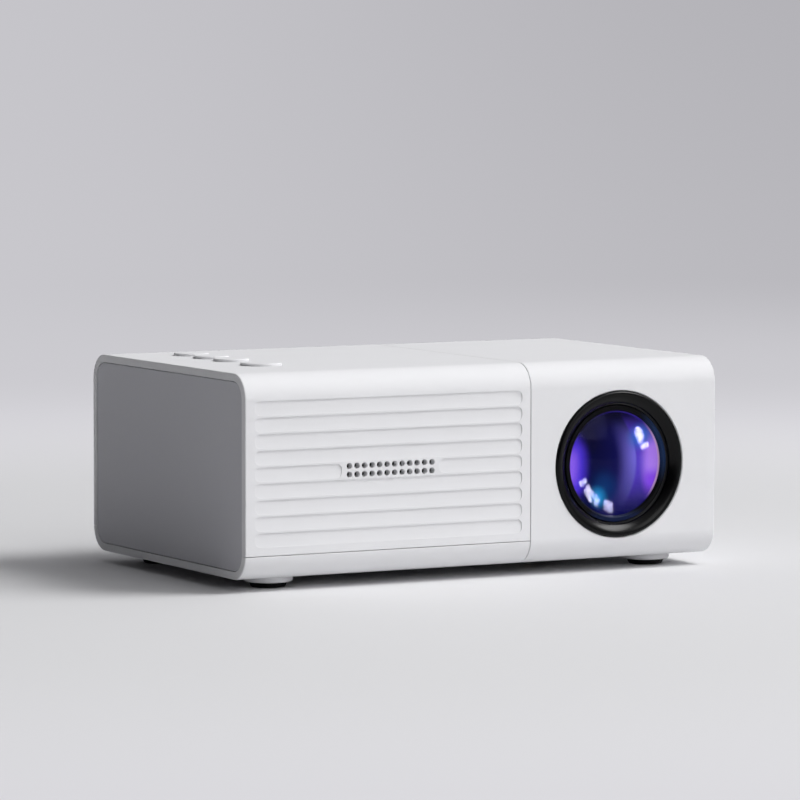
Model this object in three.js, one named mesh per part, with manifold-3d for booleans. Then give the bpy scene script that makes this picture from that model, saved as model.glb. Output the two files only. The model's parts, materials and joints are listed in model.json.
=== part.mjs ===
// Mini projector: casing shells, keys, boards, optical engine, fan and focusing lens.
// Millimetres, +Z up. The lens looks along -Y and sits to the right of the middle.
// The origin is on the table, under the middle of the casing.

import * as THREE from 'three';
import { mergeVertices } from 'three/addons/utils/BufferGeometryUtils.js';
import Module from 'manifold-3d';

const wasm = await Module();
wasm.setup();

// Clearances and cuts
const fit = 0.3;
const seat = 0.1;
const seam = 0.3;
const overrun = 1;

// Sides of round faces, from the lens down to screws
const lensSides = 32;
const midSides = 18;
const smallSides = 12;
const holeSides = 8;
const bulgeSteps = 3;
const edgeSegments = 5;
const fluteSegments = 2;

// Casing
const coverLength = 75.35;
const lensToSeam = 24.4;
const lensFromRight = 26.75;
const caseDepth = 81;
const caseHeight = 47.5;
const edgeRadius = 6;
const wall = 1.8;
const lowerSeamHeight = 5.65;
const plateMargin = 5.35;
const plateEdgeLap = 0.1;

// End panels and the lips behind them
const panelThickness = 1.6;
const panelRecess = 0.15;
const panelGap = 0.25;
const lipWidth = 1.4;
const lipThickness = 1.4;

// Feet
const bossRadius = 5.7;
const bossHeight = 1.5;
const bossChamfer = 0.35;
const padHeight = 1.3;
const padTopRadius = 4.55;
const padBottomRadius = 3.9;
const padSocketDepth = 0.8;
const footInsetX = 12.05;
const footInsetY = 12.1;

// Case screws and their pillars
const screwInset = 8.5;
const screwRow = 18;
const screwRadius = 1.25;
const screwHeadRadius = 2.2;
const screwHeadHeight = 0.9;
const screwLength = 11;
const screwCrossLength = 2.4;
const screwCrossWidth = 0.6;
const screwCrossDepth = 0.5;
const pillarRadius = 2.5;

// Tripod insert
const insertFromSeam = 11.9;
const insertRow = 20;
const insertRadius = 4.6;
const insertBore = 3.1;
const insertHeight = 7;
const insertWall = 1.7;

// Flutes and sound holes of the front
const fluteCount = 9;
const flutePitch = 3.79;
const fluteHeight = 3.25;
const fluteDepth = 0.45;
const fluteSlope = 0.35;
const fluteRadius = 1.25;
const fluteTopDrop = 6.2;
const fluteEndMargin = 2.55;
const fluteSeamMargin = 2.4;
const padFlute = 4;
const padFromEnd = 24.95;
const padLength = 25.8;
const holeRadius = 0.6;
const holeColumns = 12;
const holeRows = 2;
const holePitch = 1.98;

// Vent slots of the back, the underside and the right end
const ventSlotWidth = 2;
const ventSlotPitch = 4;
const backSlotCount = 9;
const backSlotHeight = 26;
const bellySlotCount = 6;
const bellySlotLength = 18;
const endSlotCount = 13;
const endSlotHeight = 22;

// Keys, their switches and board
const keyInset = 17.5;
const powerKeyRow = -14.4;
const firstKeyRow = 1.1;
const keyPitch = 10.6;
const powerKeyRadius = 4.95;
const smallKeyRadius = 4.3;
const keyProud = 0.65;
const keyChamfer = 0.35;
const flangeWidth = 0.95;
const flangeThickness = 1;
const stemRadius = 1.9;
const stemLength = 1.2;
const plungerRadius = 1.4;
const plungerProud = 0.9;
const plungerDepth = 1.1;
const plungerRoom = 0.9;
const switchWidth = 6;
const switchFloor = 0.4;
const keyBoardThickness = 1.2;
const keyBoardMargin = 5.4;
const postRadius = 1.6;

// Main board and port board
const boardThickness = 1.6;
const boardHeight = 4.4;
const boardInset = 12.25;
const boardFrontGap = 2.7;
const boardDepthShare = 0.3765;
const boardPastSeam = 3.4;
const boardArmWidth = 14.4;
const portBoardRoom = 17.2;
const standoffRadius = 2;
const standoffInset = 4.2;
const chipWidth = 14;
const chipThickness = 1.4;
const coolerHeight = 7;
const coolerBase = 1.5;
const coolerFins = 5;
const coolerFinThickness = 1;
const capacitorRadius = 2.5;
const capacitorHeight = 7;
const capacitorPitch = 7;
const portBoardHeight = 29.4;

// Sockets of the port board
const portWall = 0.5;
const portMouthRecess = 1.2;
const portBackWall = 1.2;
const portPitch = 6.7;
const hdmiWidth = 15;
const hdmiHeight = 5.6;
const usbWidth = 13.1;
const usbHeight = 5.7;
const tongueThickness = 1.2;
const tongueMargin = 1.4;
const cardWidth = 14;
const cardHeight = 2.4;
const cardPitch = 5.8;
const dcWidth = 8.6;
const dcHeight = 9.6;
const dcBore = 3.15;
const dcPinRadius = 1;
const jackRadius = 2.9;
const jackBore = 1.8;
const lowPortHeight = 6.4;

// Speaker
const speakerRadius = 14;
const speakerFlange = 1;
const speakerRim = 1.8;
const speakerBackRadius = 9.5;
const speakerDepth = 4.4;
const speakerWall = 0.9;
const speakerVentRadius = 4;
const magnetRadius = 8.5;
const magnetHeight = 3.4;
const magnetBore = 1.5;
const coneThickness = 0.5;
const coneDepth = 2.2;
const coneInnerRadius = 3.2;

// Optical engine
const lensHeight = 22.8;
const engineFrontShare = 0.4556;
const engineBackGap = 1.1;
const engineLift = 1.7;
const enginePostRadius = 2.5;
const enginePostInset = 6;
const engineWall = 1.6;
const condenserSideGap = 3.4;
const mirrorEndGap = 3.1;
const mirrorSideGap = 2;
const mirrorThickness = 2;
const plateThickness = 1.6;
const lcdThickness = 3;
const mirrorPlateGap = 3.5;
const plateRoom = 7;
const platePitch = 4.1;
const ribWidth = 0.9;
const ribReach = 1.5;
const lightHoleRadius = 12.4;
const condenserRim = 2;
const condenserBulge = 4;
const condenserFromEnd = 7;
const lampHoleStep = 3.6;
const lampBoardWidth = 20;
const lampBoardHeight = 30;
const lampBoardThickness = 1.4;
const lampChipShare = 1.143;
const lampChipThickness = 1.2;
const ribbonThickness = 0.3;
const ribbonWidth = 12;
const ribbonFall = 3;
const ribbonReach = 6;

// Heat sink
const sinkBase = 3;
const sinkEndGap = 1.4;
const sinkFanGap = 0.7;
const engineFanGap = 0.4;
const engineFanSideGap = 0.6;
const sinkHalfHeight = 18;
const finCount = 9;
const finLength = 17;
const finThickness = 1.2;

// Fan
const fanWidth = 35;
const fanLift = 3.1;
const cradleWidth = 6;
const fanThickness = 7;
const ductRadius = 16.2;
const hubRadius = 8.5;
const hubWall = 1.2;
const fanShaftRadius = 1;
const bearingRadius = 3;
const bearingLength = 3.2;
const strutWidth = 2.4;
const strutCount = 4;
const strutThickness = 1.5;
const bladeCount = 7;
const bladeThickness = 0.9;
const bladeTilt = 0.6;
const bladeHeight = 3.4;

// Focusing lens
const ringRadius = 17.4;
const ringProud = 0.4;
const ringChamfer = 0.35;
const ringMouthRadius = 14.5;
const ringDish = 1.1;
const ringLand = 0.9;
const ringCollar = 0.7;
const ringCollarThickness = 1;
const ringSkirtLength = 7.9;
const guideRadius = 15.4;
const guideWall = 1.2;
const guideStop = 1.8;
const guideStopThickness = 1.5;
const guideFlangeRadius = 18.5;
const guideFlangeThickness = 2;
const barrelRadius = 13.9;
const barrelRimWall = 0.6;
const barrelFrontDepth = 2.2;
const barrelBackGap = 6.3;
const barrelWaistRadius = 11.4;
const lensRimThickness = 3;
const frontLensBulge = 2.2;
const frontLensBackBulge = 1.6;
const retainerOpening = 12.7;
const retainerThickness = 0.6;
const rearLensRadius = 12;
const rearSeatDepth = 6.4;
const rearLensRim = 3;
const rearLensBulge = 1.4;
const rearRingThickness = 2;
const rearRingWidth = 1.6;
const focusTravel = 1.5;
const focusTurn = Math.PI / 4;
const pinRadius = 0.9;
const pinReach = 1;
const pinFromFront = 3.9;
const grooveDepth = 1.2;

// Places that follow from the sizes
const caseWidth = coverLength + lensToSeam + lensFromRight;
const leftEnd = -caseWidth / 2;
const rightEnd = caseWidth / 2;
const seamX = leftEnd + coverLength;
const front = -caseDepth / 2;
const back = caseDepth / 2;
const underside = bossHeight + padHeight;
const floorTop = underside + wall;
const top = underside + caseHeight;
const ceiling = top - wall;
const seamZ = underside + lowerSeamHeight;
const innerFront = front + wall;
const innerBack = back - wall;
const plateHalfDepth = caseDepth / 2 - edgeRadius - plateEdgeLap;
const footPlaces = [
  ['front_left', leftEnd + footInsetX, front + footInsetY],
  ['front_right', rightEnd - footInsetX, front + footInsetY],
  ['rear_left', leftEnd + footInsetX, back - footInsetY],
  ['rear_right', rightEnd - footInsetX, back - footInsetY],
];
const screwPlaces = [
  ['front_left', leftEnd + screwInset, -screwRow],
  ['front_right', rightEnd - screwInset, -screwRow],
  ['rear_left', leftEnd + screwInset, screwRow],
  ['rear_right', rightEnd - screwInset, screwRow],
];
const insertX = seamX + insertFromSeam;
const keyX = leftEnd + keyInset;
const keys = [
  ['power', powerKeyRow, powerKeyRadius],
  ['source', firstKeyRow, smallKeyRadius],
  ['volume_down', firstKeyRow + keyPitch, smallKeyRadius],
  ['volume_up', firstKeyRow + 2 * keyPitch, smallKeyRadius],
];
const lensX = rightEnd - lensFromRight;
const axisZ = underside + lensHeight;
const padMiddleX = leftEnd + padFromEnd + padLength / 2;
const fluteTop = top - fluteTopDrop;
const holesZ = fluteTop - padFlute * flutePitch - fluteHeight / 2;

const looks = {
  shell: { color: 0xdfdfe1, roughness: 0.45, metalness: 0 },
  panel: { color: 0xb9b9be, roughness: 0.55, metalness: 0 },
  innerPlastic: { color: 0x26262a, roughness: 0.6, metalness: 0 },
  blackRing: { color: 0x0b0b0c, roughness: 0.35, metalness: 0 },
  rubber: { color: 0x111112, roughness: 0.8, metalness: 0 },
  steel: { color: 0x9a9ca0, roughness: 0.35, metalness: 1 },
  brass: { color: 0xb08d4a, roughness: 0.4, metalness: 1 },
  aluminium: { color: 0xb4b7bb, roughness: 0.4, metalness: 1 },
  greenBoard: { color: 0x1d5a35, roughness: 0.5, metalness: 0 },
  chip: { color: 0x1a1a1c, roughness: 0.5, metalness: 0 },
  ferrite: { color: 0x3a3a3e, roughness: 0.6, metalness: 0.2 },
  paper: { color: 0x2b2a2a, roughness: 0.9, metalness: 0 },
  glass: { color: 0x1a1470, roughness: 0.05, metalness: 0 },
  clear: { color: 0xdde6ea, roughness: 0.05, metalness: 0 },
  mirror: { color: 0xe8e8ea, roughness: 0.03, metalness: 1 },
  lamp: { color: 0xf2e9a8, roughness: 0.4, metalness: 0 },
  ribbon: { color: 0xc9a227, roughness: 0.5, metalness: 0 },
};

// Turns a closed geometry into a solid with its faces pointing out.
function solidOf(geometry) {
  geometry.deleteAttribute('normal');
  geometry.deleteAttribute('uv');
  const merged = mergeVertices(geometry);
  const points = merged.attributes.position.array;
  const corners = [];
  for (let i = 0; i < merged.index.count; i += 3) {
    const [a, b, c] = [merged.index.getX(i), merged.index.getX(i + 1), merged.index.getX(i + 2)];
    if (a !== b && b !== c && c !== a) corners.push(a, b, c);
  }
  if (signedVolume(points, corners) < 0) corners.reverse();
  return new wasm.Manifold(new wasm.Mesh({
    numProp: 3,
    vertProperties: new Float32Array(points),
    triVerts: new Uint32Array(corners),
  }));
}

function signedVolume(points, corners) {
  let sum = 0;
  const vertex = (i) => new THREE.Vector3().fromArray(points, 3 * i);
  for (let i = 0; i < corners.length; i += 3) {
    const side = vertex(corners[i + 1]).cross(vertex(corners[i + 2]));
    sum += vertex(corners[i]).dot(side);
  }
  return sum / 6;
}

// A block between two corners.
function block([x0, y0, z0], [x1, y1, z1]) {
  const geometry = new THREE.BoxGeometry(x1 - x0, y1 - y0, z1 - z0);
  geometry.translate((x0 + x1) / 2, (y0 + y1) / 2, (z0 + z1) / 2);
  return solidOf(geometry);
}

// A solid of revolution about Y. The profile is a list of [radius, y] that closes on itself.
function turnedY(profile, sides) {
  const points = [...profile, profile[0]].map(([r, y]) => new THREE.Vector2(r, y));
  return solidOf(new THREE.LatheGeometry(points, sides));
}

// The same about Z, from a list of [radius, z].
function turnedZ(profile, sides) {
  const points = [...profile, profile[0]].map(([r, z]) => new THREE.Vector2(r, z));
  const geometry = new THREE.LatheGeometry(points, sides);
  geometry.rotateX(Math.PI / 2);
  return solidOf(geometry);
}

function pegZ(radius, z0, z1, sides) {
  return turnedZ([[0, z0], [radius, z0], [radius, z1], [0, z1]], sides);
}

function pegY(radius, y0, y1, sides) {
  return turnedY([[0, y0], [radius, y0], [radius, y1], [0, y1]], sides);
}

function pegX(radius, x0, x1, sides) {
  const geometry = new THREE.CylinderGeometry(radius, radius, x1 - x0, sides);
  geometry.rotateZ(Math.PI / 2);
  geometry.translate((x0 + x1) / 2, 0, 0);
  return solidOf(geometry);
}

function ringY(inner, outer, y0, y1, sides) {
  return turnedY([[inner, y0], [outer, y0], [outer, y1], [inner, y1]], sides);
}

function roundedRect(x0, y0, x1, y1, radius) {
  const shape = new THREE.Shape();
  shape.absarc(x1 - radius, y0 + radius, radius, -Math.PI / 2, 0);
  shape.absarc(x1 - radius, y1 - radius, radius, 0, Math.PI / 2);
  shape.absarc(x0 + radius, y1 - radius, radius, Math.PI / 2, Math.PI);
  shape.absarc(x0 + radius, y0 + radius, radius, Math.PI, 1.5 * Math.PI);
  shape.closePath();
  return shape;
}

// Runs an outline drawn in Y and Z along X.
function alongX(shape, x0, x1, curveSegments) {
  const geometry = new THREE.ExtrudeGeometry(shape, {
    depth: x1 - x0, bevelEnabled: false, curveSegments,
  });
  geometry.applyMatrix4(new THREE.Matrix4().makeBasis(
    new THREE.Vector3(0, 1, 0), new THREE.Vector3(0, 0, 1), new THREE.Vector3(1, 0, 0),
  ));
  geometry.translate(x0, 0, 0);
  return solidOf(geometry);
}

// Runs an outline drawn in X and Y up along Z.
function alongZ(shape, z0, z1) {
  const geometry = new THREE.ExtrudeGeometry(shape, { depth: z1 - z0, bevelEnabled: false });
  geometry.translate(0, 0, z0);
  return solidOf(geometry);
}

// The casing's section in Y and Z, drawn in from its outer surface by a margin.
function caseSection(margin) {
  const radius = Math.max(edgeRadius - margin, margin / 2);
  return roundedRect(front + margin, underside + margin, back - margin, top - margin, radius);
}

function caseSpan(margin, x0, x1) {
  return alongX(caseSection(margin), x0, x1, edgeSegments);
}

// The lip that an end panel rests against, from its outer face inwards.
function panelLip(x0, x1) {
  return caseSpan(wall / 2, x0, x1).subtract(
    caseSpan(wall + lipWidth, x0 - overrun, x1 + overrun),
  );
}

// Offsets a closed outline to its left by a distance, corner by corner.
function insetOutline(points, distance) {
  return points.map((point, i) => {
    const before = points[(i + points.length - 1) % points.length];
    const after = points[(i + 1) % points.length];
    const a = point.clone().sub(before).normalize();
    const b = after.clone().sub(point).normalize();
    const normalA = new THREE.Vector2(-a.y, a.x);
    const normalB = new THREE.Vector2(-b.y, b.x);
    const middle = normalA.clone().add(normalB);
    return point.clone().add(middle.multiplyScalar(distance / (1 + normalA.dot(normalB))));
  });
}

const projector = new THREE.Group();

// Adds a solid to a group as a named mesh.
function piece(name, solid, look, parent = projector) {
  const { vertProperties, triVerts } = solid.getMesh();
  const geometry = new THREE.BufferGeometry();
  geometry.setAttribute('position', new THREE.BufferAttribute(vertProperties, 3));
  geometry.setIndex(new THREE.BufferAttribute(triVerts, 1));
  geometry.computeVertexNormals();
  const mesh = new THREE.Mesh(geometry, new THREE.MeshStandardMaterial({ ...look }));
  mesh.name = name;
  parent.add(mesh);
  return mesh;
}

function groupAt(x, y, z) {
  const group = new THREE.Group();
  group.position.set(x, y, z);
  projector.add(group);
  return group;
}

// A shallow flute cut with sloping sides, as long as its two ends say.
function fluteCut(x0, x1, zTop) {
  const inset = fluteSlope;
  const shape = roundedRect(
    x0 + inset, zTop - fluteHeight + inset, x1 - inset, zTop - inset, fluteRadius - inset,
  );
  const geometry = new THREE.ExtrudeGeometry(shape, {
    depth: overrun,
    bevelThickness: fluteDepth,
    bevelSize: fluteSlope,
    bevelSegments: 1,
    curveSegments: fluteSegments,
  });
  geometry.applyMatrix4(new THREE.Matrix4().makeBasis(
    new THREE.Vector3(1, 0, 0), new THREE.Vector3(0, 0, 1), new THREE.Vector3(0, -1, 0),
  ));
  geometry.translate(0, front, 0);
  return solidOf(geometry);
}

function flutes() {
  const left = leftEnd + fluteEndMargin;
  const right = seamX - fluteSeamMargin;
  const cuts = [];
  for (let i = 0; i < fluteCount; i += 1) {
    const zTop = fluteTop - i * flutePitch;
    if (i === padFlute) {
      cuts.push(fluteCut(left, leftEnd + padFromEnd, zTop));
      cuts.push(fluteCut(leftEnd + padFromEnd + padLength, right, zTop));
    } else {
      cuts.push(fluteCut(left, right, zTop));
    }
  }
  return wasm.Manifold.union(cuts);
}

function soundHoles() {
  const cuts = [];
  for (let column = 0; column < holeColumns; column += 1) {
    for (let row = 0; row < holeRows; row += 1) {
      const x = padMiddleX + (column - (holeColumns - 1) / 2) * holePitch;
      const z = holesZ + (row - (holeRows - 1) / 2) * holePitch;
      cuts.push(pegY(holeRadius, front - overrun, innerFront + overrun, holeSides).translate([x, 0, z]));
    }
  }
  return wasm.Manifold.union(cuts);
}

// A row of upright slots through the back wall, behind the fan.
function backSlots(middleX, middleZ) {
  const cuts = [];
  for (let i = 0; i < backSlotCount; i += 1) {
    const x = middleX + (i - (backSlotCount - 1) / 2) * ventSlotPitch;
    cuts.push(block(
      [x - ventSlotWidth / 2, innerBack - overrun, middleZ - backSlotHeight / 2],
      [x + ventSlotWidth / 2, back + overrun, middleZ + backSlotHeight / 2],
    ));
  }
  return wasm.Manifold.union(cuts);
}

// A pillar from the ceiling, with a bore for a case screw at its foot.
function pillar(x, y) {
  const foot = floorTop + seat;
  const bore = pegZ(
    screwRadius + fit, foot - overrun, underside + screwLength + overrun, smallSides,
  );
  return pegZ(pillarRadius, foot, ceiling + wall / 2, smallSides).subtract(bore).translate([x, y, 0]);
}

// Heights in the stack of keys, switches and key board, from the ceiling down
const flangeTop = ceiling - fit;
const stemFoot = flangeTop - flangeThickness - stemLength;
const switchTop = stemFoot - seat - plungerProud;
const switchFoot = switchTop - plungerDepth - plungerRoom - switchFloor;
const keyBoardTop = switchFoot - seat;
const lastKeyRow = firstKeyRow + 2 * keyPitch;
const postRows = [
  powerKeyRow - powerKeyRadius - flangeWidth - fit - postRadius,
  (powerKeyRow + powerKeyRadius + firstKeyRow - smallKeyRadius) / 2,
  lastKeyRow + smallKeyRadius + flangeWidth + fit + postRadius,
];

// Port board and its sockets, measured from the back wall and the main board
const boardTop = floorTop + boardHeight + boardThickness;
const boardLeft = leftEnd + boardInset;
const portX = boardLeft + boardArmWidth / 2 + fit;
const boardFront = innerFront + boardFrontGap;
const boardBack = boardFront + caseDepth * boardDepthShare;
const portBoardFoot = boardTop + seat;
const portBoardBack = back - portBoardRoom;
const lowPortZ = portBoardFoot + lowPortHeight;
const hdmiZ = lowPortZ + dcHeight / 2 + hdmiHeight / 2 + seam + wall;
const usbZ = hdmiZ + portPitch;
const cardZ = usbZ + cardPitch;
const dcX = portX - (hdmiWidth - dcWidth) / 2;
const jackX = portX + hdmiWidth / 2 - jackRadius;
const socketBack = portBoardBack + seat;
const socketMouth = back - portMouthRecess;

// Optical engine along X, and the fan behind its heat sink
const engineFoot = floorTop + engineLift;
const engineFloor = engineFoot + engineWall;
const engineHalfHeight = axisZ - engineFloor;
const engineTop = axisZ + engineHalfHeight;
const engineFront = front + caseDepth * engineFrontShare;
const engineBack = innerBack - engineBackGap;
const engineRow = (engineFront + engineBack) / 2;
const engineHalfWidth = (engineBack - engineFront) / 2;
const mirrorReach = engineHalfWidth - engineWall - mirrorEndGap;
const mirrorLength = 2 * Math.SQRT2 * mirrorReach;
const wideRight = lensX + mirrorReach + mirrorSideGap + engineWall;
const lcdX = lensX - mirrorReach - mirrorPlateGap - platePitch;
const wideLeft = lcdX - plateRoom;
const sinkFace = portX + hdmiWidth / 2 + sinkEndGap + finLength + sinkBase;
const lampBoardBack = sinkFace + seat;
const engineLeft = lampBoardBack + lampBoardThickness + seat;
const fanLeft = sinkFace - sinkBase - finLength;
const fanX = fanLeft + fanWidth / 2;
const fanFoot = floorTop + fanLift;
const fanZ = fanFoot + fanWidth / 2;
const fanBack = innerBack - fit;
const fanFront = fanBack - fanThickness;
const sinkHalfWidth = fanFront - sinkFanGap - engineRow;
const narrowRight = fanLeft + fanWidth + engineFanSideGap;
const condenserHalfWidth = fanFront - engineFanGap - engineRow;
const condenserRadius = condenserHalfWidth - condenserSideGap;
const lampHoleRadius = condenserRadius - lampHoleStep;
const lampChipWidth = lampHoleRadius * lampChipShare;

function portOpenings() {
  const slot = (x, z, width, height) => block(
    [x - width / 2 - fit, innerBack - overrun, z - height / 2 - fit],
    [x + width / 2 + fit, back + overrun, z + height / 2 + fit],
  );
  return wasm.Manifold.union([
    slot(portX, hdmiZ, hdmiWidth, hdmiHeight),
    slot(portX, usbZ, usbWidth, usbHeight),
    slot(portX, cardZ, cardWidth, cardHeight),
    slot(dcX, lowPortZ, dcWidth, dcHeight),
    pegY(jackRadius + fit, innerBack - overrun, back + overrun, smallSides)
      .translate([jackX, 0, lowPortZ]),
  ]);
}

// Upper shell of the keyed side: top, front and back walls down to the lower seam.
function mainCover() {
  const right = seamX - seam / 2;
  const lipStart = leftEnd + panelRecess + panelThickness + seat;
  const posts = postRows.map((y) => pegZ(
    postRadius, keyBoardTop + seat, ceiling + wall / 2, smallSides,
  ).translate([keyX, y, 0]));
  const keyHoles = keys.map(([, y, radius]) => pegZ(
    radius + fit, ceiling - overrun, top + overrun, midSides,
  ).translate([keyX, y, 0]));
  const pillars = screwPlaces.filter(([, x]) => x < 0).map(([, x, y]) => pillar(x, y));
  const belowSeam = block(
    [leftEnd - overrun, front - overrun, underside - overrun],
    [right + overrun, back + overrun, seamZ + seam / 2],
  );
  const shell = caseSpan(0, leftEnd, right)
    .subtract(caseSpan(wall, leftEnd - overrun, right + overrun))
    .add(panelLip(lipStart, lipStart + lipThickness))
    .subtract(belowSeam);
  return wasm.Manifold.union([shell, ...posts, ...pillars])
    .subtract(wasm.Manifold.union([flutes(), soundHoles(), ...keyHoles]))
    .subtract(backSlots(fanX, fanZ))
    .subtract(portOpenings());
}

// Outline of the plate that closes the lens side from beneath, with a margin round it.
function plateBlock(margin, z0, z1) {
  return block(
    [seamX - seam, -plateHalfDepth - margin, z0],
    [rightEnd - plateMargin + margin, plateHalfDepth + margin, z1],
  );
}

// Shell of the lens side: top, front, back and bottom edges in one piece.
function lensSideShell() {
  const left = seamX + seam / 2;
  const lipStart = rightEnd - panelRecess - panelThickness - seat;
  const mouth = pegY(ringRadius + fit, front - overrun, innerFront + overrun, lensSides);
  const pillars = screwPlaces.filter(([, x]) => x > 0).map(([, x, y]) => pillar(x, y));
  const shell = caseSpan(0, left, rightEnd)
    .subtract(caseSpan(wall, left - overrun, rightEnd + overrun))
    .add(panelLip(lipStart - lipThickness, lipStart))
    .subtract(plateBlock(fit, underside - overrun, floorTop + overrun))
    .subtract(mouth.translate([lensX, 0, axisZ]));
  return wasm.Manifold.union([shell, ...pillars]);
}

function standoffPlaces() {
  const nearFront = boardFront + standoffInset;
  const nearBack = boardBack - standoffInset;
  const left = boardLeft + standoffInset;
  const right = seamX + boardPastSeam - standoffInset;
  const armBack = portBoardBack - boardThickness - standoffInset;
  return [[left, nearFront], [right, nearFront], [right, nearBack], [left, armBack]];
}

// Lower shell: tray under the keyed side, plate under the lens side, feet and posts.
function bottomShell() {
  const right = seamX - seam / 2;
  const lipStart = leftEnd + panelRecess + panelThickness + seat;
  const aboveSeam = block(
    [leftEnd - overrun, front - overrun, seamZ - seam / 2],
    [right + overrun, back + overrun, top + overrun],
  );
  const tray = caseSpan(0, leftEnd, right)
    .subtract(caseSpan(wall, leftEnd - overrun, right + overrun))
    .add(panelLip(lipStart, lipStart + lipThickness))
    .subtract(aboveSeam);
  const bosses = footPlaces.map(([, x, y]) => turnedZ([
    [0, padHeight], [bossRadius - bossChamfer, padHeight], [bossRadius, padHeight + bossChamfer],
    [bossRadius, floorTop - wall / 2], [0, floorTop - wall / 2],
  ], midSides).translate([x, y, 0]));
  const sockets = footPlaces.map(([, x, y]) => pegZ(
    padTopRadius + fit, padHeight - overrun, padHeight + padSocketDepth, midSides,
  ).translate([x, y, 0]));
  const screwHoles = screwPlaces.map(([, x, y]) => turnedZ([
    [0, underside - overrun], [screwHeadRadius + fit, underside - overrun],
    [screwHeadRadius + fit, underside + screwHeadHeight + seat],
    [screwRadius + fit, underside + screwHeadHeight + seat],
    [screwRadius + fit, floorTop + overrun], [0, floorTop + overrun],
  ], smallSides).translate([x, y, 0]));
  const posts = standoffPlaces().map(([x, y]) => pegZ(
    standoffRadius, floorTop - wall / 2, floorTop + boardHeight - seat, smallSides,
  ).translate([x, y, 0]));
  const enginePosts = enginePostPlaces().map(([x, y]) => pegZ(
    enginePostRadius, floorTop - wall / 2, engineFoot - seat, smallSides,
  ).translate([x, y, 0]));
  const insertBoss = pegZ(
    insertRadius + fit + insertWall, floorTop - wall / 2, underside + insertHeight, midSides,
  ).translate([insertX, -insertRow, 0]);
  const insertHole = pegZ(
    insertRadius + fit, underside - overrun, underside + insertHeight + overrun, midSides,
  ).translate([insertX, -insertRow, 0]);
  return wasm.Manifold.union([
    tray, plateBlock(0, underside, floorTop), ...bosses, ...posts, ...enginePosts, insertBoss,
    ...fanCradle(),
  ]).subtract(wasm.Manifold.union([...sockets, ...screwHoles, insertHole, bellySlots()]));
}

// Low posts that carry the optical housing.
function enginePostPlaces() {
  return [
    [wideLeft + enginePostInset, engineFront + enginePostInset],
    [wideRight - enginePostInset, engineFront + enginePostInset],
    [wideLeft + enginePostInset, engineBack - enginePostInset],
    [engineLeft + enginePostInset, engineRow],
  ];
}

// Two blocks on the floor that the fan frame stands on.
function fanCradle() {
  const inset = fanWidth / 2 - cradleWidth;
  return [-1, 1].map((side) => block(
    [fanX + side * inset - cradleWidth / 2, fanFront, floorTop - wall / 2],
    [fanX + side * inset + cradleWidth / 2, fanFront + fanThickness / 2, fanFoot - seat],
  ));
}

// Air slots under the heat sink.
function bellySlots() {
  const middleX = sinkFace - sinkBase - finLength / 2;
  const cuts = [];
  for (let i = 0; i < bellySlotCount; i += 1) {
    const x = middleX + (i - (bellySlotCount - 1) / 2) * ventSlotPitch;
    cuts.push(block(
      [x - ventSlotWidth / 2, engineRow - bellySlotLength / 2, underside - overrun],
      [x + ventSlotWidth / 2, engineRow + bellySlotLength / 2, floorTop + overrun],
    ));
  }
  return wasm.Manifold.union(cuts);
}

function endPanel(x0, x1) {
  return alongX(caseSection(wall + panelGap), x0, x1, edgeSegments);
}

// Right end panel with a row of upright air slots.
function slottedPanel(x0, x1) {
  const middleZ = underside + caseHeight / 2;
  const cuts = [];
  for (let i = 0; i < endSlotCount; i += 1) {
    const y = (i - (endSlotCount - 1) / 2) * ventSlotPitch;
    cuts.push(block(
      [x0 - overrun, y - ventSlotWidth / 2, middleZ - endSlotHeight / 2],
      [x1 + overrun, y + ventSlotWidth / 2, middleZ + endSlotHeight / 2],
    ));
  }
  return endPanel(x0, x1).subtract(wasm.Manifold.union(cuts));
}

function casing() {
  const leftFace = leftEnd + panelRecess;
  const rightFace = rightEnd - panelRecess;
  piece('main_cover', mainCover(), looks.shell);
  piece('lens_side_shell', lensSideShell(), looks.shell);
  piece('bottom_shell', bottomShell(), looks.shell);
  piece('left_end_panel', endPanel(leftFace, leftFace + panelThickness), looks.panel);
  piece('right_end_panel', slottedPanel(rightFace - panelThickness, rightFace), looks.panel);
}

// Rubber pad: a tapered foot below its socket.
function footPad() {
  return turnedZ([
    [0, 0], [padBottomRadius, 0], [padTopRadius, padHeight],
    [padTopRadius, padHeight + padSocketDepth - seat], [0, padHeight + padSocketDepth - seat],
  ], midSides);
}

function caseScrew() {
  const head = pegZ(screwHeadRadius, 0, screwHeadHeight, smallSides);
  const shank = pegZ(screwRadius, screwHeadHeight / 2, screwLength, holeSides);
  const crossCut = (length, width) => block(
    [-length / 2, -width / 2, -overrun], [length / 2, width / 2, screwCrossDepth],
  );
  return head.add(shank)
    .subtract(crossCut(screwCrossLength, screwCrossWidth))
    .subtract(crossCut(screwCrossWidth, screwCrossLength));
}

function feetAndFasteners() {
  for (const [corner, x, y] of footPlaces) {
    piece(`foot_pad_${corner}`, footPad(), looks.rubber).position.set(x, y, 0);
  }
  for (const [corner, x, y] of screwPlaces) {
    piece(`case_screw_${corner}`, caseScrew(), looks.steel).position.set(x, y, underside);
  }
  const insert = turnedZ([
    [insertBore, 0], [insertRadius, 0], [insertRadius, insertHeight], [insertBore, insertHeight],
  ], midSides);
  piece('tripod_insert', insert, looks.brass).position.set(insertX, -insertRow, underside);
}

// A key: cap through the cover, flange under it, stem to its switch.
function keyCap(radius) {
  const crown = top + keyProud;
  return turnedZ([
    [0, stemFoot], [stemRadius, stemFoot], [stemRadius, stemFoot + stemLength],
    [radius + flangeWidth, stemFoot + stemLength], [radius + flangeWidth, flangeTop],
    [radius, flangeTop], [radius, crown - keyChamfer], [radius - keyChamfer, crown], [0, crown],
  ], midSides);
}

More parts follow.
